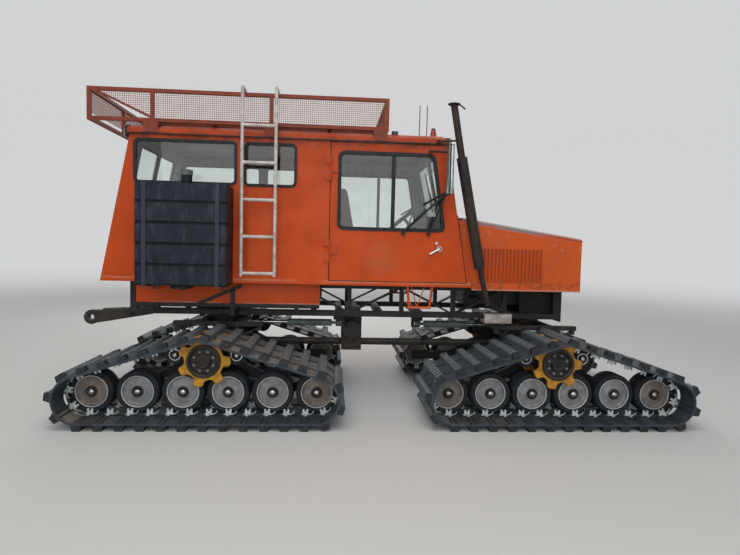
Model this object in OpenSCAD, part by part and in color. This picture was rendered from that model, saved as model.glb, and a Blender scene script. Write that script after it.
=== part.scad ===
// Over-snow crew vehicle on four steered track pontoons.
// X is forward, Y is left, Z is up, and Z = 0 is the ground under the cross bars.

/* [Tracks] */
// Distance between the two steering axles
wheelbase = 2864; // [2844:2:2960]
// Half of the width over the tracks
track_outer_y = 1220; // [1216:1:1260]
// Width of each edge belt
edge_belt_w = 185; // [176:1:190]
// Width of the centre belt
centre_belt_w = 220; // [212:1:224]
// Width of the slot between two belts
belt_slot_w = 60; // [56:1:64]
// Thickness of a belt
belt_t = 16; // [12:1:20]
// Height of a cross bar above its belt
bar_h = 45; // [35:1:55]
// Width of a cross bar where it stands on the belt, along the track
bar_foot = 80; // [70:1:90]
// Width of a cross bar at its tip
bar_tip = 58; // [40:1:64]
// Number of cross bars on one track
bar_count = 31; // [25:1:32]

/* [Pontoons] */
// Outer radius of a road wheel's tyre
wheel_r = 170; // [164:1:173]
// Radius of the rim under the tyre
rim_r = 127; // [118:1:135]
// Distance between neighbouring road wheels
wheel_pitch = 355.6; // [350:0.2:370]
// Number of road wheels on a pontoon
wheel_count = 6; // [4:2:6]
// Width of a tyre
tyre_w = 160; // [130:2:170]
// Height of the sprocket's centre above the road wheels' centres
sprocket_rise = 266; // [262:1:284]
// Radius of the belt's seat on the sprocket
sprocket_seat_r = 181; // [178:1:186]
// Radius over the sprocket's teeth
tooth_tip_r = 207; // [196:1:210]
// Radius of the valleys between the teeth
tooth_root_r = 152; // [146:1:158]
// Number of teeth
tooth_count = 7; // [7:1:7]
// Thickness of a sprocket ring
ring_t = 28; // [20:1:32]
// Radius of the drive hub
hub_r = 132; // [120:1:135]
// Radius of the rollers under the upper run
roller_r = 75; // [65:1:78]
// Distance of those rollers from the sprocket's centre, along X
roller_x = 242; // [238:1:260]
// Height of the pontoon beam
beam_h = 82; // [70:1:90]

/* [Axles and steering] */
// Radius of the axle tube
axle_r = 55; // [48:1:60]
// Radius of the differential housing
diff_r = 150; // [130:1:160]
// Radius of the turntable over each axle
turntable_r = 200; // [180:1:220]
// Radius of the king pin in the turntable
king_pin_r = 38; // [30:1:44]
// Length of the spring carrier's side rails
carrier_len = 775; // [720:5:800]
// Largest steering angle
steer_deg = 14; // [8:1:14]
// Distance of the rod's pin behind the king pin
steer_pin_x = 230; // [225:1:260]
// Distance of the rod's pin from the middle plane
steer_pin_y = 300; // [290:1:305]
// Length of a steering cylinder between its pins
cylinder_len = 832; // [800:2:860]
// Outer radius of the cylinder's barrel
barrel_r = 32; // [28:1:36]
// Radius of the cylinder's rod
rod_r = 15; // [12:1:18]

/* [Frame] */
// Height of the frame's lower rails above the sprocket's centre
frame_rise = 303; // [300:1:330]
// Height of the frame from the lower rails to the cab floor
truss_h = 300; // [280:2:320]
// Half of the distance between the frame's inner faces
truss_inner_y = 410; // [405:1:415]
// Width of a frame tube
tube_w = 60; // [54:1:64]
// Height of a frame rail
rail_h = 50; // [44:1:60]
// Rear end of the frame from the middle of the wheelbase
frame_rear = 2190; // [2150:5:2210]
// Front end of the frame from the middle of the wheelbase
frame_front = 1660; // [1640:5:1680]
// Reach of the towing eye behind the rear axle
hitch_reach = 1341; // [1320:1:1400]
// Radius of the towing eye's hole
eye_r = 27; // [22:1:30]

/* [Cab] */
// Half of the cab's width
cab_half_w = 760; // [750:1:790]
// Thickness of the cab's walls
wall_t = 30; // [26:1:36]
// Rear end of the cab's sill from the middle of the wheelbase
cab_rear = 2328; // [2300:2:2350]
// Front end of the cab's sill from the middle of the wheelbase
cab_front = 755; // [745:1:765]
// Lean of the cab's rear wall in degrees
rear_lean = 11.2; // [9:0.1:12]
// Lean of the cab's front wall in degrees
front_lean = 12.7; // [12:0.1:13]
// Height of the cab from its sill to the roof's lower edge
cab_h = 1203; // [1190:1:1240]
// Height of the roof cap
roof_h = 73; // [65:1:90]
// Thickness of the roof cap's edge
roof_edge_t = 16; // [12:1:20]

/* [Doors and windows] */
// Seam round a door
door_seam = 6; // [5:0.5:8]
// Rear edge of a door from the middle of the wheelbase
door_rear = 464; // [450:1:480]
// Front corner of a door at its foot
door_front = 709; // [690:1:715]
// Lean of a door's front edge in degrees
door_lean = 9.7; // [9.4:0.1:10.5]
// Height of a door's foot over the sill
door_foot = 39; // [30:1:60]
// Gap between a door and the roof's lower edge
door_head = 13; // [10:1:20]
// Height of the door window's lower edge over the sill
door_glass_foot = 475; // [440:1:520]
// Height of the door over its window
door_rail_h = 65; // [55:1:75]
// Height of the side windows
side_glass_h = 338; // [300:1:345]
// Thickness of the panes
glass_t = 6; // [4:1:8]
// Largest opening of a door in degrees
door_open = 80; // [45:5:85]

/* [Hood] */
// Front end of the hood from the middle of the wheelbase
hood_front = 1719; // [1700:1:1750]
// Step between the cab's side and the hood's
hood_inset = 15; // [12:1:25]
// Thickness of the hood's panels
hood_t = 20; // [16:1:24]
// Height of the hood over the sill at the cab
hood_rear_h = 600; // [580:1:620]
// Height of the hood over the sill at its front
hood_front_h = 437; // [420:1:460]
// Depth of the hood's sides below the sill
hood_drop = 24; // [10:1:28]
// Number of louvres on each side
louvre_count = 17; // [10:1:18]
// Distance between louvres
louvre_pitch = 33; // [30:0.5:33]
// Height of the louvres
louvre_h = 278; // [240:1:290]

/* [Fuel tank and ladder] */
// Length of the fuel tank
tank_len = 684; // [640:2:700]
// Depth of the tank from the cab's wall
tank_depth = 318; // [280:2:330]
// Height of the tank
tank_h = 786; // [740:2:790]
// Rear end of the tank from the middle of the wheelbase
tank_rear = 1944; // [1930:1:1960]
// Distance of the ladder's rails from the cab's wall
ladder_off = 110; // [90:1:120]
// Width between the ladder's rails
ladder_w = 268; // [250:1:290]
// Front rail of the ladder from the middle of the wheelbase
ladder_front = 909; // [890:1:920]
// Distance between rungs
rung_pitch = 297; // [280:1:300]
// Radius of the ladder's tubes
ladder_r = 14; // [12:1:16]

/* [Rack and stack] */
// Rear end of the rack from the middle of the wheelbase
rack_rear = 2413; // [2380:1:2430]
// Front end of the rack from the middle of the wheelbase
rack_front = 5; // [0:1:40]
// Height of the rack's basket
rack_h = 250; // [220:1:280]
// Side of the rack's square tubes
rack_tube = 30; // [24:1:36]
// Radius of the exhaust stack's upper pipe
stack_r = 29; // [25:1:32]
// Radius of the stack's heat shield
shield_r = 44; // [40:1:46]

/* [Hidden] */
$fn = 40;

// clearances: a seat that stays put, and a face that turns over another
seat_gap = 0.3;
turn_gap = 0.5;

// colours
orange = "#B04A26";
hood_orange = "#BC5632";
black_steel = "#23272C";
dark_steel = "#3A3D40";
amber = "#DCA028";
rubber = "#24272B";
belt_black = "#33373B";
wheel_grey = "#A39C93";
pale_metal = "#B8BCBE";
tank_blue = "#2B3442";
rack_brown = "#6E4034";
glass_green = "#7A8F88";

// heights
wheel_z = bar_h + belt_t + seat_gap + wheel_r;
sprocket_z = wheel_z + sprocket_rise;
frame_z = sprocket_z + frame_rise;
sill_z = frame_z + truss_h;
skirt_z = sill_z + cab_h;
roof_z = skirt_z + roof_h;
roof_crown = 34;
ceiling_z = roof_z - roof_crown - 2;

// places along X, from the middle of the wheelbase, and that middle in the frame
end_x = (wheel_count - 1) / 2 * wheel_pitch;
track_reach = end_x + wheel_r + seat_gap + belt_t + bar_h;
mid_x = (hitch_reach - track_reach) / 2;
half_base = wheelbase / 2;

// places across a pontoon
track_w = 2 * edge_belt_w + centre_belt_w + 2 * belt_slot_w;
track_inner_y = track_outer_y - track_w;
outer_slot_y = track_outer_y - edge_belt_w - belt_slot_w / 2;
inner_slot_y = track_inner_y + edge_belt_w + belt_slot_w / 2;
centre_y = (outer_slot_y + inner_slot_y) / 2;
beam_outer_y = inner_slot_y + ring_t / 2 + 6;
beam_w = 80;
beam_inner_y = beam_outer_y - beam_w;
arm_t = 38;

// the belt's path: sprocket arc, slopes, end arcs and the run on the ground
belt_seat_r = wheel_r + seat_gap;
slope_len = sqrt(pow(end_x, 2) + pow(sprocket_rise, 2) - pow(sprocket_seat_r - belt_seat_r, 2));
slope_normal = atan2(-sprocket_rise, end_x)
    + acos((sprocket_seat_r - belt_seat_r) / norm([end_x, sprocket_rise]));
start_angle = 1.5 * 360 / tooth_count;

module truck() translate([mid_x, 0, 0]) children();
module at_front() translate([mid_x + half_base, 0, 0]) children();
module at_rear() translate([mid_x - half_base, 0, 0]) children();
module both_sides() {
    children();
    mirror([0, 1, 0]) children();
}
module right() mirror([0, 1, 0]) children();

// box between two corners
module block(low, high) translate(low) cube(high - low);

// plate with an outline in X and Z, from y0 to y1
module side_plate(y0, y1) translate([0, y1, 0]) rotate([90, 0, 0]) linear_extrude(y1 - y0) children();

// disc or tube along Y, from y0 to y1
module disc_y(x, z, r, y0, y1, fn = 40)
    translate([x, y0, z]) rotate([-90, 0, 0]) cylinder(r = r, h = y1 - y0, $fn = fn);

// round bar between two points
module bar(p, q, r, fn = 20) {
    d = q - p;
    translate(p) rotate([0, acos(d[2] / norm(d)), atan2(d[1], d[0])]) cylinder(r = r, h = norm(d), $fn
        = fn);
}

// rounded rectangle between two corners, in the plane of an outline
module rounded_window(low, high, r) {
    block2 = high - low;
    translate(low) union() {
        translate([r, 0]) square([block2[0] - 2 * r, block2[1]]);
        translate([0, r]) square([block2[0], block2[1] - 2 * r]);
        for (x = [r, block2[0] - r], z = [r, block2[1] - r]) translate([x, z]) circle(r, $fn = 24);
    }
}

// corners of an outline rounded by r, each in n flats
function unit(v) = v / norm(v);
function rounded(points, r, n = 5) = [
    for (i = [0 : len(points) - 1])
        let (p = points[i])
        let (u = unit(points[(i + len(points) - 1) % len(points)] - p))
        let (v = unit(points[(i + 1) % len(points)] - p))
        let (half = acos(u * v) / 2)
        let (c = p + unit(u + v) * r / sin(half))
        let (from = p + u * r / tan(half) - c)
        let (to = p + v * r / tan(half) - c)
        let (a0 = atan2(from[1], from[0]))
        let (turned = (atan2(to[1], to[0]) - a0 + 540) % 360 - 180)
        for (k = [0 : n]) spot(c, r, a0 + turned * k / n)
];

// Tracks

// point on a circle of the side view
function spot(c, r, a) = [c[0] + r * cos(a), c[1] + r * sin(a)];
// flats that touch a circle from outside
function arc(c, r, a0, a1, n) = let (da = (a1 - a0) / n) concat(
    [spot(c, r, a0)],
    [for (i = [0 : n - 1]) spot(c, r / cos(da / 2), a0 + (i + 0.5) * da)],
    [spot(c, r, a1)]);

// outline of the belt at a distance out from its inner face
function belt_outline(out) = concat(
    arc([0, sprocket_z], sprocket_seat_r + out, 180 - slope_normal, slope_normal, 2),
    arc([end_x, wheel_z], belt_seat_r + out, slope_normal, -90, 7),
    arc([-end_x, wheel_z], belt_seat_r + out, -90, slope_normal - 360 + 2 * (90 - slope_normal), 7));

// stretches of the belt's middle line, from the valley of the sprocket that holds a cross bar
mid_r = sprocket_seat_r + belt_t / 2;
end_r = belt_seat_r + belt_t / 2;
first_arc = mid_r * (start_angle - slope_normal) * PI / 180;
end_arc = end_r * (slope_normal + 90) * PI / 180;
ground_run = 2 * end_x;
last_arc = mid_r * (180 - slope_normal - start_angle) * PI / 180;
front_end = first_arc + slope_len;
ground_start = front_end + end_arc;
rear_end = ground_start + ground_run;
rear_slope = rear_end + end_arc;
belt_len = rear_slope + slope_len + last_arc;
bar_pitch = belt_len / bar_count;

// centre and outward angle of the belt at a length along it: [x, z, angle]
function on_sprocket(a) = concat(spot([0, sprocket_z], mid_r, a), a);
function on_end(side, a) = concat(spot([side * end_x, wheel_z], end_r, a), a);
function belt_spot(s) =
    s < first_arc ? on_sprocket(start_angle - s / mid_r * 180 / PI)
    : s < front_end ? along(on_sprocket(slope_normal), s - first_arc)
    : s < ground_start ? on_end(1, slope_normal - (s - front_end) / end_r * 180 / PI)
    : s < rear_end ? along(on_end(1, -90), s - ground_start)
    : s < rear_slope ? on_end(-1, -90 - (s - rear_end) / end_r * 180 / PI)
    : s < rear_slope + slope_len ? along(on_end(-1, 180 - slope_normal), s - rear_slope)
    : on_sprocket(180 - slope_normal - (s - rear_slope - slope_len) / mid_r * 180 / PI);
function along(start, s) = [start[0] + s * sin(start[2]), start[1] - s * cos(start[2]), start[2]];

// depth of a bar's foot in the belt, and half the length of the windows for the sprocket's teeth
bar_sink = 4;
window_half = 151;

module belt_side() difference() {
    polygon(belt_outline(belt_t));
    polygon(belt_outline(0));
}
module bar_sides() for (i = [0 : bar_count - 1]) let (s = belt_spot(i * bar_pitch))
    translate([s[0], s[1]]) rotate(s[2]) polygon([
        [belt_t / 2 - bar_sink, -bar_foot / 2], [belt_t / 2 + bar_h, -bar_tip / 2],
        [belt_t / 2 + bar_h, bar_tip / 2], [belt_t / 2 - bar_sink, bar_foot / 2]]);

module track() color(belt_black) difference() {
    union() {
        side_plate(track_inner_y, track_outer_y) belt_side();
        side_plate(track_inner_y, track_outer_y) bar_sides();
    }
    for (y = [inner_slot_y, outer_slot_y]) block(
        [-window_half, y - belt_slot_w / 2, sprocket_z],
            [window_half, y + belt_slot_w / 2, sprocket_z + 2 * tooth_tip_r]);
}

module track_front_left() at_front() track();
module track_front_right() at_front() right() track();
module track_rear_left() at_rear() track();
module track_rear_right() at_rear() right() track();

// Sprockets, wheels and pontoon frames

// one tooth as a share of a tooth's angle and a share of the way from root to tip
tooth_form = [[-0.5, 0], [-0.3, 0.12], [-0.2, 0.86], [-0.12, 1], [0.12, 1], [0.2, 0.86], [0.3, 0.12]];
tooth_angle = 360 / tooth_count;
function ring_outline() = [
    for (i = [0 : tooth_count - 1], p = tooth_form)
        spot([0, 0], tooth_root_r + (tooth_tip_r - tooth_root_r) * p[1], tooth_angle * (i + p[0]))
];

module sprocket_ring(y) translate([0, 0, sprocket_z]) side_plate(y - ring_t / 2, y + ring_t / 2)
    difference() {
        polygon(ring_outline());
        circle(hub_r + seat_gap, $fn = 48);
    }

module sprockets() color(amber) both_sides() {
    sprocket_ring(outer_slot_y);
    sprocket_ring(inner_slot_y);
}
module sprockets_front() at_front() sprockets();
module sprockets_rear() at_rear() sprockets();

// one wheel on its stub axle, turned about Y: [radius, y]
stub_r = 30;
rim_t = 12;
disc_t = 10;
cap_r = 43;
tyre_y = [centre_y - tyre_w / 2, centre_y + tyre_w / 2];
rim_in = rim_r - rim_t;
dish_rim_y = tyre_y[1] - 36;
dish_hub_y = tyre_y[1] - 16;
cap_y = tyre_y[1] + 18;
wheel_profile = [
    [0, beam_outer_y], [stub_r, beam_outer_y], [stub_r, dish_hub_y - disc_t], [rim_in, dish_rim_y - disc_t],
    [rim_in, tyre_y[0]], [rim_r, tyre_y[0]], [rim_r, tyre_y[1]], [rim_in, tyre_y[1]],
    [rim_in, dish_rim_y], [cap_r + 14, dish_hub_y], [cap_r, dish_hub_y], [cap_r, cap_y - 10],
    [cap_r - 10, cap_y], [0, cap_y]
];

// a tyre is a ring of flats round its rim, with one corner on the ground run
tyre_sides = 14;
function flats(r) = [for (i = [0 : tyre_sides - 1]) spot([0, 0], r, i * 360 / tyre_sides - 90)];
module tyre() translate([0, 0, wheel_z]) side_plate(tyre_y[0], tyre_y[1]) difference() {
    polygon(flats(wheel_r));
    polygon(flats((rim_r + seat_gap) / cos(180 / tyre_sides)));
}

module turned_y(x, z, fn) translate([x, 0, z]) rotate([-90, 0, 0]) rotate_extrude($fn = fn) children();
module at_wheels() for (i = [0 : wheel_count - 1]) translate([i * wheel_pitch - end_x, 0, 0]) children();

module wheels() color(wheel_grey) both_sides() at_wheels() turned_y(0, wheel_z, 40) polygon(wheel_profile);
module wheels_front() at_front() wheels();
module wheels_rear() at_rear() wheels();

module tyres() color(rubber) both_sides() at_wheels() tyre();
module tyres_front() at_front() tyres();
module tyres_rear() at_rear() tyres();

// beam, A-shaped side plate, upper rollers on their stubs
roller_z = sprocket_z + (sprocket_seat_r - seat_gap - roller_r - roller_x * cos(slope_normal)) /
    sin(slope_normal);
beam_end = end_x + 60;
beam_top = wheel_z + beam_h / 2;
bearing_r = axle_r + 36;
leg_out = 560;
leg_in = 420;

module a_plate() difference() {
    union() {
        translate([0, sprocket_z]) circle(bearing_r, $fn = 48);
        for (s = [-1, 1]) {
            polygon([[s * bearing_r * 0.7, sprocket_z + bearing_r * 0.4], [s * leg_out, beam_top],
                [s * leg_in, beam_top], [0, sprocket_z - bearing_r * 0.7]]);
            polygon([[0, sprocket_z + bearing_r * 0.8], [s * (roller_x + 24), roller_z + 16],
                [s * (roller_x + 24), roller_z - 26], [0, sprocket_z - bearing_r * 0.5]]);
        }
    }
    translate([0, sprocket_z]) circle(axle_r + seat_gap, $fn = 48);
}

module pontoon_frames() color(black_steel) both_sides() {
    block([-beam_end, beam_inner_y, wheel_z - beam_h / 2], [beam_end, beam_outer_y, beam_top]);
    side_plate(beam_inner_y, beam_inner_y + arm_t) a_plate();
    for (s = [-1, 1]) {
        disc_y(s * roller_x, roller_z, 20, beam_inner_y + arm_t, tyre_y[1] + 10, 24);
        disc_y(s * roller_x, roller_z, roller_r, tyre_y[0], tyre_y[1]);
    }
}
module pontoon_frames_front() at_front() pontoon_frames();
module pontoon_frames_rear() at_rear() pontoon_frames();

// Axles, spring carriers and steering

hub_inner_y = beam_inner_y + arm_t + 8;
hub_outer_y = outer_slot_y + ring_t / 2 + 14;
nose_r = 42;
nose_len = 205;
spring_y = 460;
spring_w = 56;

// outline of the hub, turned about Y: a rim with a sunk face and a raised centre
hub_profile = [
    [0, hub_inner_y], [hub_r, hub_inner_y], [hub_r, hub_outer_y], [hub_r - 14, hub_outer_y],
    [hub_r - 22, hub_outer_y - 16], [58, hub_outer_y - 16], [52, hub_outer_y + 4], [0, hub_outer_y + 4]
];

module axle(s) color(black_steel) union() {
    disc_y(0, sprocket_z, axle_r, -hub_inner_y, hub_inner_y);
    turned_y(0, sprocket_z, 48) polygon([
        [0, -diff_r], [axle_r + 20, -diff_r], [diff_r, -diff_r / 3],
        [diff_r, diff_r / 3], [axle_r + 20, diff_r], [0, diff_r]]);
    bar([0, 0, sprocket_z], [-s * nose_len, 0, sprocket_z], nose_r, 32);
    both_sides() turned_y(0, sprocket_z, 48) polygon(hub_profile);
    both_sides() block([-70, spring_y - spring_w / 2, sprocket_z],
        [70, spring_y + spring_w / 2, sprocket_z + axle_r + 12]);
}
module axle_front() at_front() axle(1);
module axle_rear() at_rear() axle(-1);

// the carrier: rails, cross ties, turntable ring, leaf springs and the rod's fork
turntable_t = 36;
plate_z = frame_z - turntable_t;
carrier_z = plate_z - turn_gap - 64;
carrier_h = 40;
rail_y = spring_y;
tie_x = 150;
leaf_t = 12;
leaf_count = 4;
spring_foot_z = sprocket_z + axle_r + 12 + seat_gap;
spring_rise = carrier_z - spring_foot_z - leaf_count * leaf_t;
spring_half = carrier_len / 2 - 30;
spring_bend_r = (pow(spring_half, 2) + pow(spring_rise, 2)) / (2 * spring_rise);

// one leaf as a slice of a ring, its half length and its level in the pack
module leaf(level, half) intersection() {
    translate([0, spring_foot_z + spring_bend_r + (leaf_count - 1) * leaf_t]) difference() {
        circle(spring_bend_r + level * leaf_t + leaf_t / 2 + 0.05, $fn = 180);
        circle(spring_bend_r + level * leaf_t - leaf_t / 2 - 0.05, $fn = 180);
    }
    translate([-half, spring_foot_z]) square([2 * half, carrier_z - spring_foot_z + carrier_h / 2]);
}

cyl_z = carrier_z + 20;
eye_t = 34;
neck_r_of_eye = eye_t / 2 - 3;
fork_t = 12;
eye_out_r = 25;

module rod_fork(s) {
    fork_x = steer_pin_x + eye_out_r;
    for (z = [cyl_z + eye_t / 2 + turn_gap, cyl_z - eye_t / 2 - turn_gap - fork_t])
        block([min(-s * fork_x, -s * tie_x), -steer_pin_y - eye_out_r, z],
            [max(-s * fork_x, -s * tie_x), -steer_pin_y + eye_out_r, z + fork_t]);
    block([-s * (tie_x + 15) - 15, -steer_pin_y - eye_out_r, cyl_z - eye_t / 2 - turn_gap - fork_t],
        [-s * (tie_x + 15) + 15, -steer_pin_y + eye_out_r, carrier_z + 1]);
}

module carrier(s) color(dark_steel) difference() {
    union() {
        both_sides() {
            block([-carrier_len / 2, rail_y - 30, carrier_z],
                [carrier_len / 2, rail_y + 30, carrier_z + carrier_h]);
            side_plate(spring_y - spring_w / 2, spring_y + spring_w / 2) {
                for (i = [0 : leaf_count - 1]) leaf(i, spring_half * (1 - 0.2 * i) + 6);
                for (e = [-1, 1]) translate([e * spring_half - 16, spring_foot_z + spring_rise + leaf_t])
                    square([32, carrier_z - spring_foot_z - spring_rise]);
                translate([-60, spring_foot_z]) square([120, leaf_count * leaf_t]);
            }
        }
        for (x = [-tie_x, tie_x]) block([x - 30, -rail_y, carrier_z],
            [x + 30, rail_y, carrier_z + carrier_h]);
        translate([0, 0, carrier_z]) cylinder(r = turntable_r, h = plate_z - turn_gap - carrier_z, $fn
            = 64);
        rod_fork(s);
    }
    translate([0, 0, carrier_z - 1]) cylinder(r = king_pin_r + turn_gap, h = 100, $fn = 40);
}
module carrier_front() at_front() carrier(1);
module carrier_rear() at_rear() carrier(-1);

// steering cylinders: s is 1 for the front axle and -1 for the rear one
barrel_len = 470;
bore_start = 150;
gland_len = 30;
rod_start = 300;
pin_r = 10;
anchor_x = half_base - steer_pin_x - cylinder_len;

module cylinder_frame(s) truck() translate([s * anchor_x, -steer_pin_y, cyl_z]) children();

module barrel(s) color("#5E6A62") difference() {
    union() {
        translate([0, 0, -eye_t / 2]) cylinder(r = eye_out_r, h = eye_t, $fn = 32);
        bar([s * 16, 0, 0], [s * barrel_len, 0, 0], neck_r_of_eye, 32);
        bar([s * 60, 0, 0], [s * barrel_len, 0, 0], barrel_r, 40);
    }
    translate([0, 0, -eye_t]) cylinder(r = pin_r + seat_gap, h = 2 * eye_t, $fn = 32);
    bar([s * bore_start, 0, 0], [s * (barrel_len - gland_len), 0, 0], rod_r + 5, 32);
    bar([s * bore_start, 0, 0], [s * (barrel_len + 1), 0, 0], rod_r + seat_gap, 32);
}
module rod(s) color("silver") difference() {
    union() {
        bar([s * rod_start, 0, 0], [s * (cylinder_len - 5), 0, 0], rod_r, 32);
        translate([s * cylinder_len, 0, -eye_t / 2]) cylinder(r = eye_out_r, h = eye_t, $fn = 32);
    }
    translate([s * cylinder_len, 0, -eye_t]) cylinder(r = pin_r + seat_gap, h = 2 * eye_t, $fn = 32);
}
module barrel_front() cylinder_frame(1) barrel(1);
module barrel_rear() cylinder_frame(-1) barrel(-1);
module rod_front() cylinder_frame(1) rod(1);
module rod_rear() cylinder_frame(-1) rod(-1);

// Frame

// posts of the truss, and the diagonals between them
bay_count = 8;
bay = (frame_front + frame_rear - tube_w) / bay_count;
post_w = 36;
upper_z = sill_z - rail_h;
lower_top = frame_z + rail_h;
truss_outer_y = truss_inner_y + tube_w;

module truss() side_plate(truss_inner_y, truss_outer_y) {
    translate([-frame_rear, frame_z]) square([frame_front + frame_rear, rail_h]);
    translate([-frame_rear, upper_z]) square([frame_front + frame_rear, rail_h]);
    for (i = [0 : bay_count]) translate([-frame_rear + i * bay, frame_z]) square([i % bay_count == 0 ?
        tube_w : post_w, truss_h]);
    for (i = [1 : bay_count - 2]) {
        foot = -frame_rear + (i % 2 == 0 ? i : i + 1) * bay + (i % 2 == 0 ? post_w : 0);
        head = -frame_rear + (i % 2 == 0 ? i + 1 : i) * bay + (i % 2 == 0 ? 0 : post_w);
        d = i % 2 == 0 ? post_w : -post_w;
        polygon([[foot, lower_top - 1], [foot + d, lower_top - 1], [head, upper_z + 1],
            [head - d, upper_z + 1]]);
    }
}
module frame_trusses() color(black_steel) truck() both_sides() truss();

// cross members: [x, half length along X], between the trusses
ties = [[-frame_rear + 40, 30], [-half_base, 210], [-anchor_x, 30], [0, 30], [anchor_x, 30],
    [half_base, 180], [frame_front - 30, 30]];
tow_plate_t = 16;
tow_eye_r = 16;
tow_x = frame_front + 40;
tow_z = sill_z - 70;

module anchor_fork(s) {
    top = cyl_z + eye_t / 2 + turn_gap;
    foot = cyl_z - eye_t / 2 - turn_gap - fork_t;
    translate([s * anchor_x, -steer_pin_y, 0]) {
        for (z = [top, foot]) block([-eye_out_r, -eye_out_r, z], [eye_out_r, eye_out_r, z + fork_t]);
        block([s * -45 - 12, -eye_out_r, foot], [s * -45 + 12, eye_out_r, frame_z]);
        for (z = [top, foot]) block([min(0, -s * 45), -eye_out_r, z],
            [max(0, -s * 45), eye_out_r, z + fork_t]);
        block([-45, -eye_out_r, top + fork_t - 1], [45, eye_out_r, frame_z + 1]);
        translate([0, 0, foot]) cylinder(r = pin_r, h = top + fork_t - foot, $fn = 32);
    }
}

module crossmembers() color(black_steel) truck() {
    for (t = ties) block([t[0] - t[1], -truss_inner_y, frame_z], [t[0] + t[1], truss_inner_y, lower_top]);
    for (x = [-half_base, half_base]) translate([x, 0, 0]) {
        translate([0, 0, plate_z]) cylinder(r = turntable_r, h = turntable_t + 1, $fn = 64);
        translate([0, 0, carrier_z + 4]) cylinder(r = king_pin_r, h = plate_z - carrier_z, $fn = 40);
    }
    anchor_fork(1);
    anchor_fork(-1);
    for (x = [-frame_rear + 40, -anchor_x, anchor_x, frame_front - 30])
        block([x - 30, -truss_inner_y, upper_z], [x + 30, truss_inner_y, sill_z]);
    difference() {
        union() {
            block([frame_front, -truss_outer_y, frame_z - 20],
                [frame_front + tow_plate_t, truss_outer_y, sill_z]);
            block([frame_front, -14, tow_z - 34], [tow_x, 14, tow_z + 34]);
            disc_y(tow_x, tow_z, 34, -14, 14);
        }
        disc_y(tow_x, tow_z, tow_eye_r, -20, 20);
    }
}

// lockers under the cab, outside the trusses: [rear x, front x]
locker_span = [-2090, -540];
locker_drop = 185;
locker_w = 140;
module side_lockers() color(orange) truck() both_sides()
    block([locker_span[0], truss_outer_y, sill_z - locker_drop],
        [locker_span[1], truss_outer_y + locker_w, sill_z - 12]);

engine_len = 650;
engine_w = 560;
engine_x = 800;
engine_lift = 60;
module engine_block() color(dark_steel) truck() {
    block([engine_x, -engine_w / 2, lower_top + engine_lift],
        [engine_x + engine_len, engine_w / 2, sill_z + 330]);
    for (x = [engine_x + 90, engine_x + engine_len - 150]) for (s = [-1, 1])
        block([x, min(s * engine_w / 2, s * truss_inner_y), upper_z - 30],
            [x + 60, max(s * engine_w / 2, s * truss_inner_y), upper_z + 10]);
}

// transfer case with its brake drum, and the two drive shafts
case_x = -240;
case_half = 95;
shaft_r = 34;
shaft_end = half_base - nose_len - 26;
module driveline() color(dark_steel) truck() {
    block([case_x - case_half, -150, sprocket_z - 60], [case_x + case_half, 150, frame_z + 1]);
    bar([case_x, 0, sprocket_z], [shaft_end, 0, sprocket_z], shaft_r, 32);
    bar([case_x, 0, sprocket_z], [-shaft_end, 0, sprocket_z], shaft_r, 32);
    disc_y(case_x, sprocket_z + 145, 85, -235, -150);
    block([case_x - 60, -truss_inner_y, frame_z], [case_x + 60, truss_inner_y, lower_top]);
}

// drawbar with its eye, under the rear end of the frame
eye_out = 68;
eye_x = -half_base - hitch_reach + eye_out;
eye_z = frame_z - 100;
eye_len = 60;
module hitch() color(dark_steel) truck() difference() {
    union() {
        disc_y(eye_x, eye_z, eye_out, -eye_len / 2, eye_len / 2, 48);
        side_plate(-eye_len / 2, eye_len / 2) polygon([
            [eye_x, eye_z + eye_out - 4], [-frame_rear - 60, eye_z + 90], [-frame_rear, frame_z + rail_h],
            [-frame_rear, frame_z], [-frame_rear + 60, frame_z - seat_gap],
                [-frame_rear + 60, frame_z - 60],
            [eye_x, eye_z - eye_out + 4]]);
        block([-frame_rear - 16, -truss_outer_y, frame_z - 20],
            [-frame_rear - seat_gap, truss_outer_y, lower_top]);
    }
    disc_y(eye_x, eye_z, eye_r, -eye_len, eye_len, 48);
}

// Cab

// x of the cab's ends at a height, outside and inside
function rear_at(z) = -cab_rear + (z - sill_z) * tan(rear_lean);
function front_at(z) = cab_front - (z - sill_z) * tan(front_lean);
rear_wall_x = wall_t / cos(rear_lean);
front_wall_x = wall_t / cos(front_lean);
inner_y = cab_half_w - wall_t;
function door_front_at(z) = door_front - (z - sill_z - door_foot) * tan(door_lean);
door_z0 = sill_z + door_foot;
door_z1 = skirt_z - door_head;
step_x = [205, 418];
step_drop = 180;
step_r = 11;

// side windows: [rear x, front x, gap between the window and the roof's lower edge]
side_windows = [[-2050, -1245, 50], [-1168, -757, 53]];
window_r = 36;

module cab_outline(low, high) polygon([[rear_at(low), low], [rear_at(high), high],
    [front_at(high), high], [front_at(low), low]]);
module door_outline(grow) polygon([
    [-door_rear - grow, door_z0 - grow], [-door_rear - grow, door_z1 + grow],
    [door_front_at(door_z1 + grow) + grow, door_z1 + grow],
        [door_front_at(door_z0 - grow) + grow, door_z0 - grow]]);
module side_window_holes(shrink) for (w = side_windows)
    rounded_window([w[0] + shrink, skirt_z - w[2] - side_glass_h + shrink],
        [w[1] - shrink, skirt_z - w[2] - shrink], window_r);

// hinge barrels: heights over the sill
door_hinges = [260, 940];
knuckle_r = 9;
knuckle_h = 66;
hinge_y = cab_half_w + knuckle_r + 4;

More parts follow.
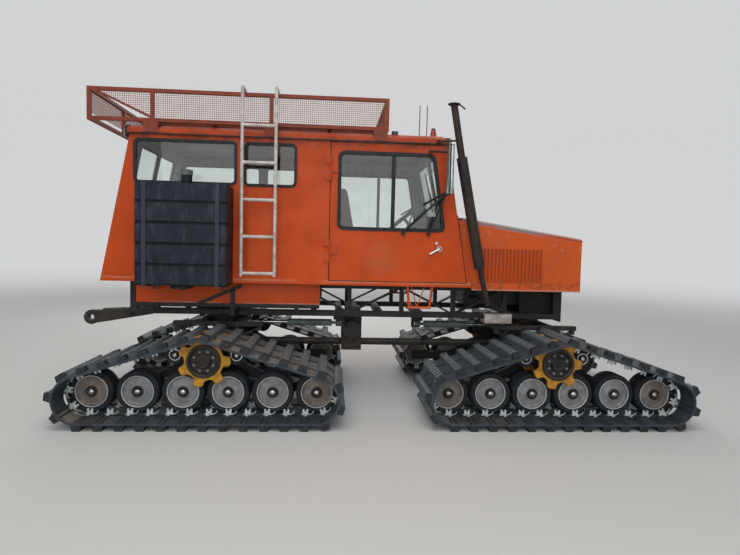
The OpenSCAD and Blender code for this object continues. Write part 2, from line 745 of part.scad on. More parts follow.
module step() {
    y = cab_half_w - 20;
    bar([step_x[0], y, sill_z], [step_x[0] + 20, y, sill_z - step_drop], step_r);
    bar([step_x[1], y, sill_z], [step_x[1] - 20, y, sill_z - step_drop], step_r);
    bar([step_x[0] + 20 - step_r, y, sill_z - step_drop],
        [step_x[1] - 20 + step_r, y, sill_z - step_drop], step_r);
}

module door_knuckle(z) translate([-door_rear, hinge_y, z]) cylinder(r = knuckle_r, h = knuckle_h -
    turn_gap, $fn = 24);

module cab_sides() color(orange) truck() both_sides() {
    side_plate(inner_y, cab_half_w) difference() {
        cab_outline(sill_z, ceiling_z);
        door_outline(door_seam);
        side_window_holes(0);
    }
    for (h = door_hinges) for (d = [-knuckle_h, knuckle_h]) {
        door_knuckle(sill_z + h + d);
        block([-door_rear - 50, cab_half_w - 1, sill_z + h + d],
            [-door_rear, hinge_y, sill_z + h + d + knuckle_h - turn_gap]);
    }
    step();
}

rear_window = [[-500, cab_h - 388], [500, cab_h - 53]];
rear_post = 36;
rear_halves = [[rear_window[0][0], -rear_post / 2], [rear_post / 2, rear_window[1][0]]];
module cab_rear_wall() color(orange) truck() difference() {
    side_plate(-inner_y, inner_y) polygon([
        [rear_at(sill_z), sill_z], [rear_at(ceiling_z), ceiling_z],
        [rear_at(ceiling_z) + rear_wall_x, ceiling_z], [rear_at(sill_z) + rear_wall_x, sill_z]]);
    for (w = rear_halves) block([-cab_rear, w[0], sill_z + rear_window[0][1]],
        [-cab_rear + 500, w[1], sill_z + rear_window[1][1]]);
}

// the windscreen's two halves: half width, width of the middle post, foot and head over the sill
screen_half_w = 650;
screen_post = 50;
screen_foot = 640;
screen_head = cab_h - 43;
cowl_z = sill_z + hood_rear_h - 12;
cowl_x = front_at(cowl_z) + 12;
hinge_r = 8;
lid_hinge_x = cowl_x + hinge_r + 3;
lid_hinges = [-560, 0, 560];

module lid_knuckle(y) disc_y(lid_hinge_x, cowl_z, hinge_r, y, y + 40 - turn_gap, 24);

module cab_front_wall() color(orange) truck() {
    difference() {
        side_plate(-inner_y, inner_y) polygon([
            [front_at(sill_z), sill_z], [front_at(ceiling_z), ceiling_z],
            [front_at(ceiling_z) - front_wall_x, ceiling_z], [front_at(sill_z) - front_wall_x, sill_z]]);
        for (s = [-1, 1]) block(
            [cab_front - 500, min(s * screen_post / 2, s * screen_half_w), sill_z + screen_foot],
            [cab_front, max(s * screen_post / 2, s * screen_half_w), sill_z + screen_head]);
    }
    ledge_y = hood_half_w - hood_t - 2;
    side_plate(-ledge_y, ledge_y) polygon([
        [front_at(cowl_z - 30), cowl_z - 30], [front_at(cowl_z + 8), cowl_z + 8],
            [cowl_x, cowl_z + 8], [cowl_x, cowl_z - 30]]);
    for (y = lid_hinges) for (d = [-40, 40]) {
        lid_knuckle(y + d);
        block([cowl_x - 1, y + d, cowl_z - hinge_r], [lid_hinge_x, y + d + 40 - turn_gap, cowl_z]);
    }
}

floor_t = 25;
riser_h = 230;
// seat risers: [rear x, front x, half width, y]
seat_y = cab_half_w / 2;
risers = [[-330, 120, 230, seat_y], [-330, 120, 230, -seat_y]];
bench_riser = [-2180, -1720];
module cab_floor() color(dark_steel) truck() union() {
    side_plate(-inner_y, inner_y) polygon([
        [rear_at(sill_z) + rear_wall_x, sill_z],
            [rear_at(sill_z + floor_t) + rear_wall_x, sill_z + floor_t],
        [front_at(sill_z + floor_t) - front_wall_x, sill_z + floor_t],
            [front_at(sill_z) - front_wall_x, sill_z]]);
    for (r = risers) block([r[0], r[3] - r[2], sill_z + 1], [r[1], r[3] + r[2], sill_z + riser_h]);
    block([bench_riser[0], -inner_y + 60, sill_z + 1], [bench_riser[1], inner_y - 60, sill_z + riser_h]);
}

module cab_roof() color(orange) truck() difference() {
    rear_x = rear_at(skirt_z) - roof_edge_t;
    front_x = front_at(skirt_z) + roof_edge_t;
    half_w = cab_half_w + roof_edge_t;
    intersection() {
        side_plate(-half_w, half_w) polygon([
            [rear_x, skirt_z], [rear_x, roof_z - roof_crown], [rear_x + roof_crown, roof_z],
            [front_x - roof_crown, roof_z], [front_x, roof_z - roof_crown], [front_x, skirt_z]]);
        translate([rear_x, 0, 0]) rotate([90, 0, 90]) linear_extrude(front_x - rear_x) polygon([
            [-half_w, skirt_z], [-half_w, roof_z - roof_crown], [-half_w + 2 * roof_crown, roof_z],
            [half_w - 2 * roof_crown, roof_z], [half_w, roof_z - roof_crown], [half_w, skirt_z]]);
    }
    block([rear_at(skirt_z) - seat_gap, -cab_half_w - seat_gap, skirt_z - 1],
        [front_at(skirt_z) + seat_gap, cab_half_w + seat_gap, ceiling_z]);
}

pane_y = cab_half_w - wall_t / 2;
module cab_glass() color(glass_green, 0.5) truck() {
    both_sides() side_plate(pane_y - glass_t / 2, pane_y + glass_t / 2) side_window_holes(seat_gap);
    pane_x = rear_wall_x / 2 - glass_t / 2;
    z0 = sill_z + rear_window[0][1] + seat_gap;
    z1 = sill_z + rear_window[1][1] - seat_gap;
    for (w = rear_halves) side_plate(w[0] + seat_gap, w[1] - seat_gap) polygon([
        [rear_at(z0) + pane_x, z0], [rear_at(z1) + pane_x, z1],
        [rear_at(z1) + pane_x + glass_t, z1], [rear_at(z0) + pane_x + glass_t, z0]]);
    s0 = sill_z + screen_foot + seat_gap;
    s1 = sill_z + screen_head - seat_gap;
    both_sides() side_plate(screen_post / 2 + seat_gap, screen_half_w - seat_gap) polygon([
        [front_at(s0) - pane_x, s0], [front_at(s1) - pane_x, s1],
        [front_at(s1) - pane_x - glass_t, s1], [front_at(s0) - pane_x - glass_t, s0]]);
}

// Doors

// door window: rear x, gap to the door's front edge, and the post between its panes
door_glass_rear = 402;
door_glass_margin = 88;
door_bar_x = 60;
door_bar_w = 26;
door_corner_r = 48;
module door_window(shrink) {
    z0 = sill_z + door_glass_foot + shrink;
    z1 = door_z1 - door_rail_h - shrink;
    difference() {
        polygon(rounded([
            [-door_glass_rear + shrink, z0], [-door_glass_rear + shrink, z1],
            [door_front_at(z1) - door_glass_margin - shrink, z1],
            [door_front_at(z0) - door_glass_margin - shrink, z0]], door_corner_r - shrink));
        translate([door_bar_x - door_bar_w / 2 - shrink, z0 - 1]) square([door_bar_w + 2 * shrink, z1 -
            z0 + 2]);
    }
}

// lever handle: a boss on the panel and a lever that points back and down
handle_x = 465;
handle_z = sill_z + 325;
handle_r = 22;
lever = [-85, -48];
lever_r = 8;
module door() color(orange) union() {
    side_plate(inner_y, cab_half_w) difference() {
        door_outline(0);
        door_window(0);
    }
    for (h = door_hinges) {
        door_knuckle(sill_z + h);
        block([-door_rear, cab_half_w - 1, sill_z + h],
            [-door_rear + 60, hinge_y, sill_z + h + knuckle_h - turn_gap]);
    }
    lever_y = cab_half_w + 24;
    disc_y(handle_x, handle_z, handle_r, cab_half_w - 1, cab_half_w + 12, 24);
    disc_y(handle_x, handle_z, handle_r - 8, cab_half_w - 1, lever_y + lever_r - 2, 24);
    bar([handle_x, lever_y, handle_z], [handle_x + lever[0], lever_y, handle_z + lever[1]], lever_r);
}
module door_left() truck() door();
module door_right() truck() right() door();

module door_glass() color(glass_green, 0.5) side_plate(pane_y - glass_t / 2, pane_y + glass_t / 2)
    door_window(seat_gap);
module door_glass_left() truck() door_glass();
module door_glass_right() truck() right() door_glass();

// mirror: the head, and two arms from the door's face: [x, height over the sill]
mirror_x = 480;
mirror_y = [cab_half_w + 100, cab_half_w + 260];
mirror_z = [skirt_z - 443, skirt_z - 43];
mirror_arms = [[360, cab_h - 63], [440, cab_h - 503], [330, cab_h - 503]];
arm_r = 9;
module mirror_head() color(dark_steel) union() {
    block([mirror_x, mirror_y[0], mirror_z[0]], [mirror_x + 32, mirror_y[1], mirror_z[1]]);
    for (a = mirror_arms) {
        head_z = sill_z + a[1] > mirror_z[0] ? mirror_z[1] - 40 : mirror_z[0] + 40;
        disc_y(a[0], sill_z + a[1], arm_r + 3, cab_half_w + seat_gap, cab_half_w + 22, 24);
        bar([a[0], cab_half_w + 12, sill_z + a[1]], [mirror_x + 16, mirror_y[0] + 20, head_z], arm_r);
    }
}
module mirror_left() truck() mirror_head();
module mirror_right() truck() right() mirror_head();

// Hood

hood_half_w = cab_half_w - hood_inset;
hood_slope = (hood_rear_h - hood_front_h) / (hood_front - front_at(sill_z + hood_rear_h));
function hood_top(x) = sill_z + hood_front_h + (hood_front - x) * hood_slope;
lid_t = 22;
hood_seam = 3;
hood_foot = sill_z - hood_drop;
louvre_front = 1365;
louvre_w = 14;
louvre_foot = 53;
module hood_side() side_plate(hood_half_w - hood_t, hood_half_w) difference() {
    rear_top = front_at(hood_top(front_at(sill_z + hood_rear_h)) - lid_t) + hood_seam;
    polygon([
        [front_at(hood_foot) + hood_seam, hood_foot], [rear_top, hood_top(rear_top) - lid_t - turn_gap],
        [hood_front, hood_top(hood_front) - lid_t - turn_gap], [hood_front, hood_foot]]);
    for (i = [0 : louvre_count - 1]) translate([louvre_front - i * louvre_pitch - louvre_w, sill_z +
        louvre_foot])
        square([louvre_w, louvre_h]);
}
louvre_rise = 11;
module louvres() for (i = [0 : louvre_count - 1])
    translate([louvre_front - i * louvre_pitch, hood_half_w, sill_z + louvre_foot - 4])
        linear_extrude(louvre_h + 8)
        polygon([[-4, 2], [-4, louvre_rise], [0, louvre_rise], [louvre_pitch - louvre_w - 3, 0],
            [louvre_pitch - louvre_w - 3, -1], [0, -1], [0, 2]]);
module hood_sides() color(hood_orange) truck() both_sides() {
    hood_side();
    louvres();
    block([frame_front - 60, truss_outer_y, sill_z - 20],
        [frame_front, hood_half_w - hood_t + 1, sill_z - 4]);
    block([front_at(sill_z) + 40, truss_outer_y, sill_z - 20],
        [front_at(sill_z) + 100, hood_half_w - hood_t + 1, sill_z - 4]);
}

lid_rear = lid_hinge_x + hinge_r + 2;
module hood_lid() color(hood_orange) truck() union() {
    side_plate(-hood_half_w - 2, hood_half_w + 2) polygon([
        [lid_rear, hood_top(lid_rear)], [hood_front - 20, hood_top(hood_front - 20)],
        [hood_front + 6, hood_top(hood_front) - 16], [hood_front + 6, hood_top(hood_front) - lid_t],
        [lid_rear, hood_top(lid_rear) - lid_t]]);
    for (y = lid_hinges) {
        lid_knuckle(y);
        block([lid_hinge_x, y, cowl_z - hinge_r], [lid_rear + 2, y + 40 - turn_gap, cowl_z]);
    }
}

// nose with its grille opening and bars
grille_half_w = 400;
grille = [50, 350];
grille_bars = 7;
lamp_y = 560;
lamp_h = 235;
lamp_r = 90;
module nose_panel() color(hood_orange) truck() difference() {
    union() {
        difference() {
            block([hood_front - hood_t, -hood_half_w + hood_t, hood_foot],
                [hood_front, hood_half_w - hood_t, hood_top(hood_front) - lid_t - turn_gap]);
            block([hood_front - hood_t - 1, -grille_half_w, sill_z + grille[0]],
                [hood_front + 1, grille_half_w, sill_z + grille[1]]);
        }
        for (i = [1 : grille_bars]) {
            z = sill_z + grille[0] + i * (grille[1] - grille[0]) / (grille_bars + 1);
            block([hood_front - hood_t, -grille_half_w - 1, z - 6],
                [hood_front - 6, grille_half_w + 1, z + 6]);
        }
    }
    for (s = [-1, 1]) bar([hood_front - 60, s * lamp_y, sill_z + lamp_h],
        [hood_front + 60, s * lamp_y, sill_z + lamp_h], lamp_r, 40);
}

// Fittings

// tank with grooved sides, straps and filler neck
groove_pitch = 161;
groove_d = 6;
strap_inset = 67;
strap_w = 32;
strap_t = 5;
tank_z = sill_z - 6;
neck_r = 42;
neck_h = 110;
neck_x = 348;
module fuel_tank() color(tank_blue) truck() right() translate([-tank_rear, cab_half_w + seat_gap,
    tank_z]) union() {
    difference() {
        block([0, 0, 0], [tank_len, tank_depth, tank_h]);
        for (i = [1 : 4]) block([-1, tank_depth - groove_d, i * groove_pitch - 5],
            [tank_len + 1, tank_depth + 1, i * groove_pitch + 5]);
    }
    for (x = [strap_inset, tank_len - strap_inset]) {
        block([x - strap_w / 2, 0, -strap_t], [x + strap_w / 2, tank_depth + strap_t, 1]);
        block([x - strap_w / 2, 0, tank_h - 1], [x + strap_w / 2, tank_depth + strap_t, tank_h + strap_t]);
        block([x - strap_w / 2, tank_depth - groove_d - 1, -strap_t],
            [x + strap_w / 2, tank_depth + strap_t, tank_h + strap_t]);
    }
    translate([neck_x, tank_depth / 2, tank_h - 1]) cylinder(r = neck_r, h = neck_h, $fn = 40);
}

rack_z = roof_z + 20;
rack_top = rack_z + rack_h;
rack_y = cab_half_w - 16;
ladder_foot = sill_z + 65;
rung_foot = sill_z + 90;
ladder_y = cab_half_w + ladder_off;
module ladder() color(pale_metal) truck() right() union() {
    for (x = [-ladder_front, -ladder_front - ladder_w]) {
        bar([x, ladder_y, ladder_foot], [x, ladder_y, rack_top + rack_tube / 2 + ladder_r + 2], ladder_r);
        bar([x, ladder_y, rack_top + rack_tube / 2 + ladder_r + 2],
            [x, rack_y, rack_top + rack_tube / 2 + ladder_r + 2], ladder_r);
        for (z = [ladder_foot + 40, skirt_z - 60]) bar([x, cab_half_w + seat_gap, z],
            [x, ladder_y, z], ladder_r - 3);
    }
    for (i = [0 : 4]) bar([-ladder_front, ladder_y, rung_foot + i * rung_pitch],
        [-ladder_front - ladder_w, ladder_y, rung_foot + i * rung_pitch], ladder_r);
}

// rack: tubes from point to point
rack_posts = [-2413, -1917, -961, -5];
rack_feet = [-1917, -961, -60];
foot_reach = 110;
module tube_x(x0, x1, y, z) block([x0, y - rack_tube / 2, z - rack_tube / 2],
    [x1, y + rack_tube / 2, z + rack_tube / 2]);
module tube_y(x, y0, y1, z) block([x - rack_tube / 2, y0, z - rack_tube / 2],
    [x + rack_tube / 2, y1, z + rack_tube / 2]);
module tube_z(x, y, z0, z1) block([x - rack_tube / 2, y - rack_tube / 2, z0],
    [x + rack_tube / 2, y + rack_tube / 2, z1]);
// foot: a pad on the roof, a strap over its edge and a plate down its side: [inner y, outer y, low z, high z]
foot_half = 58;
foot_t = 7;
foot_y = cab_half_w + roof_edge_t + seat_gap;
foot_parts = [
    [rack_y - foot_reach, rack_y + rack_tube / 2, roof_z + seat_gap, rack_z + 1],
    [rack_y, foot_y + foot_t, rack_z + 1 - foot_t, rack_z + 1],
    [foot_y, foot_y + foot_t, skirt_z + 6, rack_z + 1]
];
module rack_foot(x, s) for (p = foot_parts) block(
    [x - foot_half, min(s * p[0], s * p[1]), p[2]], [x + foot_half, max(s * p[0], s * p[1]), p[3]]);
module roof_rack() color(rack_brown) truck() union() {
    x0 = -rack_rear - rack_tube / 2;
    x1 = -rack_front + rack_tube / 2;
    base = rack_z + rack_tube / 2;
    for (y = [-rack_y, rack_y]) {
        for (z = [base, rack_top]) tube_x(x0, x1, y, z);
        for (x = rack_posts) tube_z(x, y, rack_z, rack_top);
        for (x = rack_feet) rack_foot(x, sign(y));
        side_plate(y - rack_tube / 2, y + rack_tube / 2) polygon([
            [-rack_rear, rack_top], [-rack_rear + 40, rack_top], [rack_posts[1] + 66, base],
                [rack_posts[1] + 26, base]]);
    }
    for (x = [-rack_rear, -rack_front]) for (z = [base, rack_top]) tube_y(x, -rack_y, rack_y, z);
    for (x = [-rack_rear, -rack_front]) tube_z(x, 0, rack_z, rack_top);
    for (x = [-1917, -1439, -961, -483]) tube_y(x, -rack_y, rack_y, base);
}

// stack: [x, z, radius] down from the top, in a plane beside the cab
stack_y = cab_half_w + 90;
stack_path = [[front_at(skirt_z) + 50, skirt_z + 307], [front_at(skirt_z) + 128, skirt_z - 121],
    [cab_front + 40, sill_z + 169], [cab_front + 123, sill_z - 144]];
stack_bend = 4;
flap_r = 50;
flap_t = 8;
flap_arm_r = 6;
module exhaust_stack() color(dark_steel) truck() right() {
    top = [stack_path[0][0], stack_y, stack_path[0][1]];
    join = [stack_path[1][0], stack_y, stack_path[1][1]];
    low = [stack_path[2][0], stack_y, stack_path[2][1]];
    foot = [stack_path[3][0], stack_y, stack_path[3][1]];
    bar(join, top, stack_r, 32);
    bar(top, top + [0, 0, flap_t], flap_r, 32);
    bar(top + [flap_r - 6, 0, flap_t - 2], top + [flap_r + 46, 0, -34], flap_arm_r, 16);
    bar(low, join, shield_r, 40);
    bar(foot, low + [0, 0, stack_bend], stack_r - 7, 32);
    bar(foot + [0, 0, 24], [foot[0], engine_w / 2 + seat_gap, foot[2] + 24], stack_r - 8, 32);
    bracket = [front_at(skirt_z) - 60, cab_half_w + roof_edge_t, skirt_z + 18];
    disc_y(bracket[0], bracket[2], 14, bracket[1] + seat_gap, bracket[1] + 24, 24);
    bar(bracket + [0, 14, 0], [stack_path[1][0] - 25, stack_y, bracket[2]], 8);
}

beacon_x = 430;
beacon_y = -500;
beacon_r = 29;
beacon_h = 110;
module beacon() color("#B02018") truck() translate([beacon_x, beacon_y, roof_z + seat_gap]) union() {
    cylinder(r = beacon_r + 6, h = 14, $fn = 40);
    cylinder(r = beacon_r, h = beacon_h, $fn = 40);
}

// whips: [x, y]
whips = [[337, -300], [405, -300]];
whip_h = 354;
module antennas() color("#202224") truck() for (w = whips) translate([w[0], w[1], roof_z + seat_gap]) {
    cylinder(r = 18, h = 30, $fn = 24);
    cylinder(r = 4, h = whip_h, $fn = 16);
}

module lamps() color("#D8D8D0") truck() {
    both_sides() bar([hood_front - 50, lamp_y, sill_z + lamp_h],
        [hood_front + 12, lamp_y, sill_z + lamp_h], lamp_r - seat_gap, 40);
    both_sides() block([front_at(skirt_z) + roof_edge_t + seat_gap, 560, skirt_z + 4],
        [front_at(skirt_z) + roof_edge_t + 60, 680, skirt_z + 66]);
    both_sides() bar([rear_at(skirt_z) - roof_edge_t - 52, 650, skirt_z + 30],
        [rear_at(skirt_z) - roof_edge_t - seat_gap, 650, skirt_z + 30], 50, 32);
    dome = [70, 80 - cab_half_w, roof_z + seat_gap];
    bar(dome, dome + [0, 0, 34], 27, 32);
}

// front seats: cushion, back and headrest, and the rear bench
seat_z = sill_z + riser_h + seat_gap;
seat_half_w = 230;
seat_back_h = 620;
headrest_h = 190;
bench_back_h = 540;
bench_lean = 70;
module front_seat() side_plate(-seat_half_w, seat_half_w) polygon([
    [-330, seat_z], [-350, seat_z + 120], [-440, seat_z + seat_back_h], [-330, seat_z + seat_back_h + 20],
    [-230, seat_z + 150],
    [150, seat_z + 130], [150, seat_z]]);
headrest_z = seat_z + seat_back_h + 30;
module headrest() side_plate(-130, 130) polygon([
    [-470, headrest_z], [-480, headrest_z + headrest_h], [-380, headrest_z + headrest_h],
        [-360, headrest_z]]);
module seats() color("#2C2E33") truck() {
    for (y = [-seat_y, seat_y]) translate([0, y, 0]) {
        front_seat();
        headrest();
        for (s = [-60, 60]) bar([-420, s, headrest_z - 50], [-430, s, headrest_z + 20], 8);
    }
    side_plate(-inner_y + 60, inner_y - 60) polygon([
        [bench_riser[0], seat_z], [bench_riser[0] + bench_lean, seat_z + bench_back_h],
        [bench_riser[0] + bench_lean + 100, seat_z + bench_back_h],
            [bench_riser[0] + 150, seat_z + 110], [bench_riser[1], seat_z + 110],
            [bench_riser[1], seat_z]]);
}

dash_z = [340, 600];
wheel_tilt = 40;
column_len = 200;
column_stub = 60;
module at_column() translate([300, seat_y, sill_z + 640]) rotate([0, -wheel_tilt, 0]) children();
module dashboard() color("#2A2C2E") truck() {
    at_column() translate([0, 0, -column_len]) cylinder(r = 16, h = column_len - column_stub -
        seat_gap, $fn = 24);
    side_plate(-inner_y + 20, inner_y - 20) polygon([
    [front_at(sill_z + dash_z[0]) - front_wall_x - seat_gap, sill_z + dash_z[0]],
    [front_at(sill_z + dash_z[1]) - front_wall_x - seat_gap, sill_z + dash_z[1]],
    [front_at(sill_z + dash_z[1]) - 230, sill_z + dash_z[1]],
        [front_at(sill_z + dash_z[1]) - 270, sill_z + 480],
    [front_at(sill_z + dash_z[0]) - 200, sill_z + dash_z[0]]]);
}

steering_r = 190;
module steering_wheel() color("#1C1D1F") truck() at_column() {
    rotate_extrude($fn = 48) translate([steering_r - 14, 0]) circle(14, $fn = 10);
    for (a = [90, 210, 330]) rotate(a) translate([20, -12, -4]) cube([steering_r - 30, 24, 8]);
    translate([0, 0, -20]) cylinder(r = 34, h = 34, $fn = 32);
    translate([0, 0, -column_stub]) cylinder(r = 16, h = column_stub, $fn = 24);
}

frame_trusses();
crossmembers();
side_lockers();
engine_block();
driveline();
hitch();
cab_floor();
cab_sides();
cab_rear_wall();
cab_front_wall();
cab_roof();
cab_glass();
hood_sides();
nose_panel();
hood_lid();
fuel_tank();
ladder();
roof_rack();
exhaust_stack();
beacon();
antennas();
lamps();
seats();
dashboard();
steering_wheel();
door_right();
door_left();
door_glass_right();
door_glass_left();
mirror_right();
mirror_left();
axle_front();
axle_rear();
carrier_front();
carrier_rear();
pontoon_frames_front();
pontoon_frames_rear();
wheels_front();
wheels_rear();
tyres_front();
tyres_rear();
sprockets_front();
sprockets_rear();
track_front_right();
track_front_left();
track_rear_right();
track_rear_left();
barrel_front();
barrel_rear();
rod_front();
rod_rear();
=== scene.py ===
# %% [markdown]
# A four-track over-snow crew vehicle
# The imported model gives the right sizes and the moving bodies. This script keeps it as the frame and dresses it: track belts, cleats, tyres, seals, wire mesh, louvres, seats, and paint that has seen winters.
# Every length is in metres. The source counts lengths from the middle of the wheelbase, so MID turns those into places in the frame.

# %% Load the frame
import math
import bmesh
import bpy
from mathutils import Matrix, Vector


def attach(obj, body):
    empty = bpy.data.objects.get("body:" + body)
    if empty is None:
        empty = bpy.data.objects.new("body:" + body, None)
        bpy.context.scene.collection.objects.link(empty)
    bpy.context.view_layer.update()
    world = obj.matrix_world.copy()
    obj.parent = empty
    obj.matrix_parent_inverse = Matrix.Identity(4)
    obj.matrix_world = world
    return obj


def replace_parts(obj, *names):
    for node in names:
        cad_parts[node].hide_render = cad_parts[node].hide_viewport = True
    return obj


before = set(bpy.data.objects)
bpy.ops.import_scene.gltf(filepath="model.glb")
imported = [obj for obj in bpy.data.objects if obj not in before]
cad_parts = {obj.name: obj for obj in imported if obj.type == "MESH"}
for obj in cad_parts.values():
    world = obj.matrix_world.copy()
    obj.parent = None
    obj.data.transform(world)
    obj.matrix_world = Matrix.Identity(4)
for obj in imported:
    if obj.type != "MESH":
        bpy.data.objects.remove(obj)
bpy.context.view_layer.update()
MID = 0.11035
HALF_BASE = 1.432

# %% [markdown]
# The camera
# The photograph was taken from beside the vehicle at about eye height, with a slight turn, a slight look down and a tilted horizon. The three turns are applied one after another to the directions forward, right and up. Euler angles would do too, but three named directions show what each turn does.

# %% Camera
YAW, PITCH, ROLL = (math.radians(angle) for angle in (4.06, -3.22, 1.41))
LENS_MM, SENSOR_MM = 26.76, 36
CAMERA_AT = (-0.3358, -5.3841, 1.4312)
forward = Vector((math.sin(YAW), math.cos(YAW), 0))
level_right = Vector((math.cos(YAW), -math.sin(YAW), 0))
looking = math.cos(PITCH) * forward + math.sin(PITCH) * Vector((0, 0, 1))
level_up = math.cos(PITCH) * Vector((0, 0, 1)) - math.sin(PITCH) * forward
right_way = math.cos(ROLL) * level_right + math.sin(ROLL) * level_up
up_way = math.cos(ROLL) * level_up - math.sin(ROLL) * level_right
camera = bpy.data.objects.new("camera", bpy.data.cameras.new("camera"))
bpy.context.scene.collection.objects.link(camera)
camera.data.lens = LENS_MM
camera.data.sensor_width = SENSOR_MM
turn = Matrix((right_way, up_way, -looking)).transposed().to_4x4()
camera.matrix_world = Matrix.Translation(CAMERA_AT) @ turn
bpy.context.scene.camera = camera
bpy.context.scene.view_settings.view_transform = "Standard"
print("camera stands at", tuple(round(c, 2) for c in camera.location))

# %% [markdown]
# Colours and nodes
# A colour is written as the hex value a picture shows, and one function turns it to the linear numbers that a shader wants. One small function adds a node with its settings and links.
# Old paint is layers: a clean coat, then dirt, rubbed places and chips over it. So the other helpers speak of coats and masks. A mask is a number from 0 to 1 that says how much of a coat shows at each point.

# %% Colour and node helpers
def linear(colour):
    """the linear colour of an sRGB hex value"""
    parts = [int(colour[i:i + 2], 16) / 255 for i in (1, 3, 5)]
    return (*[c / 12.92 if c <= 0.04045 else ((c + 0.055) / 1.055) ** 2.4 for c in parts], 1.0)


def add(tree, kind, inputs=None, **settings):
    """adds a shader node, with its settings, and links or sets its inputs"""
    node = tree.nodes.new("ShaderNode" + kind)
    for name, value in settings.items():
        setattr(node, name, value)
    for socket, value in (inputs or {}).items():
        if isinstance(value, bpy.types.NodeSocket):
            tree.links.new(value, node.inputs[socket])
        else:
            node.inputs[socket].default_value = value
    return node


def all_of(tree, mask, *others):
    """masks multiplied together: 1 only where every one of them is 1"""
    for other in others:
        mask = add(tree, "Math", {0: mask, 1: other}, operation="MULTIPLY", use_clamp=True).outputs[0]
    return mask


def laid(tree, under, tone, *masks):
    """a coat of TONE over another colour, as far as all the masks let it show"""
    below = linear(under) if isinstance(under, str) else under
    inputs = {0: all_of(tree, *masks), 6: below, 7: linear(tone)}
    return add(tree, "Mix", inputs, data_type="RGBA").outputs[2]


def patches(tree, place, size, low, high, detail=3.0, stretch=(1, 1, 1)):
    """cloudy patches about SIZE mm across: 0 where the cloud is under LOW, 1 where it is over HIGH"""
    point = add(tree, "Mapping", {0: place, "Scale": stretch}).outputs[0]
    cloud = add(tree, "TexNoise", {"Vector": point, "Scale": 1000 / size, "Detail": detail}).outputs[0]
    return add(tree, "MapRange", {0: cloud, 1: low, 2: high}).outputs[0]


def start(name):
    """a new material: itself, its tree, its shader and the object's own coordinates"""
    material = bpy.data.materials.new(name)
    material.use_nodes = True
    tree = material.node_tree
    return material, tree, tree.nodes["Principled BSDF"], add(tree, "TexCoord").outputs["Object"]


def roughened(tree, shader, mask, rough):
    """roughness from the first number of ROUGH where the mask is 0 to the second where it is 1"""
    spread = add(tree, "MapRange", {0: mask, 3: rough[0], 4: rough[1]}).outputs[0]
    tree.links.new(spread, shader.inputs["Roughness"])


def relief(tree, shader, height, depth, rounded=0.0):
    """bump of DEPTH mm from HEIGHT, over corners rounded by ROUNDED mm"""
    inputs = {"Height": height, "Distance": depth / 1000, "Strength": 1.0}
    if rounded:
        inputs["Normal"] = add(tree, "Bevel", {"Radius": rounded / 1000}, samples=4).outputs[0]
    tree.links.new(add(tree, "Bump", inputs).outputs[0], shader.inputs["Normal"])


print("helpers ready")

# %% [markdown]
# Plain worn materials
# Steel, rubber and aluminium on a working machine never have one colour. Each starts from its own clean and dirty
# colours, laid in soft patches of a real size, with a finer grain in its relief and dust on the faces that look up. On
# the belts that pale coat lies on the faces that look up and to the right, and on the cleats on their tops, and there
# it is painted light as well as dust. A dirt picture could be wrapped round them, but noise in real sizes needs no file
# and no unwrapping, and fits every piece.

# %% A worn material
def worn(name, clean, dirty, size, rough, metallic=0.0, grain=1.5, depth=0.12, rounded=0.0, dust_and_light=None,
         dust_and_light_facing=(0, 0, 1), gloss=0.35):
    """CLEAN and DIRTY colours in patches of SIZE mm, with a relief of GRAIN and DEPTH mm, under DUST_AND_LIGHT (colour,
    amount) on the faces that look along DUST_AND_LIGHT_FACING: dust, and on the belts and cleats also painted light
    """
    material, tree, shader, place = start(name)
    broad = patches(tree, place, size, 0.38, 0.62)
    fine = patches(tree, place, size / 7, 0.4, 0.62)
    grime = add(tree, "Math", {0: fine, 1: 0.35, 2: all_of(tree, broad, 0.65)}, operation="MULTIPLY_ADD").outputs[0]
    colour = laid(tree, clean, dirty, grime)
    if dust_and_light:
        # on a level top even a tilted face takes the coat, and a sloped facing, as on the belts, paints light only on a
        # face that looks just that way
        least = 0.2 if dust_and_light_facing[0] == 0 else 0.86
        normal = tree.nodes["Texture Coordinate"].outputs["Normal"]
        toward = add(tree, "VectorMath", {0: normal, 1: dust_and_light_facing}, operation="DOT_PRODUCT").outputs["Value"]
        lies = add(tree, "MapRange", {0: toward, 1: least, 2: least + 0.12}).outputs[0]
        cloudy = add(tree, "Math", {0: broad, 1: 0.35}, operation="ADD", use_clamp=True).outputs[0]
        dust_and_light_tone, amount = dust_and_light
        colour = laid(tree, colour, dust_and_light_tone, lies, amount, cloudy)
    tree.links.new(colour, shader.inputs["Base Color"])
    shader.inputs["Metallic"].default_value = metallic
    shader.inputs["Specular IOR Level"].default_value = gloss
    roughened(tree, shader, fine, rough)
    grit = add(tree, "TexNoise", {"Vector": place, "Scale": 1000 / grain, "Detail": 2.0}).outputs[0]
    relief(tree, shader, grit, depth, rounded)
    return material


print("worn materials can be mixed")

# %% [markdown]
# The palette
# One line for each finish: its name, its clean and its dirty colour, the size of its patches in mm, and how rough it is, from the smoothest patch to the roughest. The rest is how metallic it is, its grain and its depth, and how round its corners look.

# %% Palette of worn materials
DUST = "#857E76"
frame_paint = worn("black chassis enamel", "#1B1C1E", "#332D2A", 160, (0.45, 0.75), rounded=4, dust_and_light=(DUST, 0.45))
cast_steel = worn("cast and forged steel", "#2E3033", "#473F39", 90, (0.5, 0.8), 0.35, 2.5, 0.3, 4, (DUST, 0.4))
rubber_seal = worn("moulded rubber seal", "#141618", "#25282B", 60, (0.55, 0.8), grain=1.0)
black_plastic = worn("moulded black plastic", "#17181A", "#26272A", 80, (0.4, 0.6), grain=0.8, rounded=3)
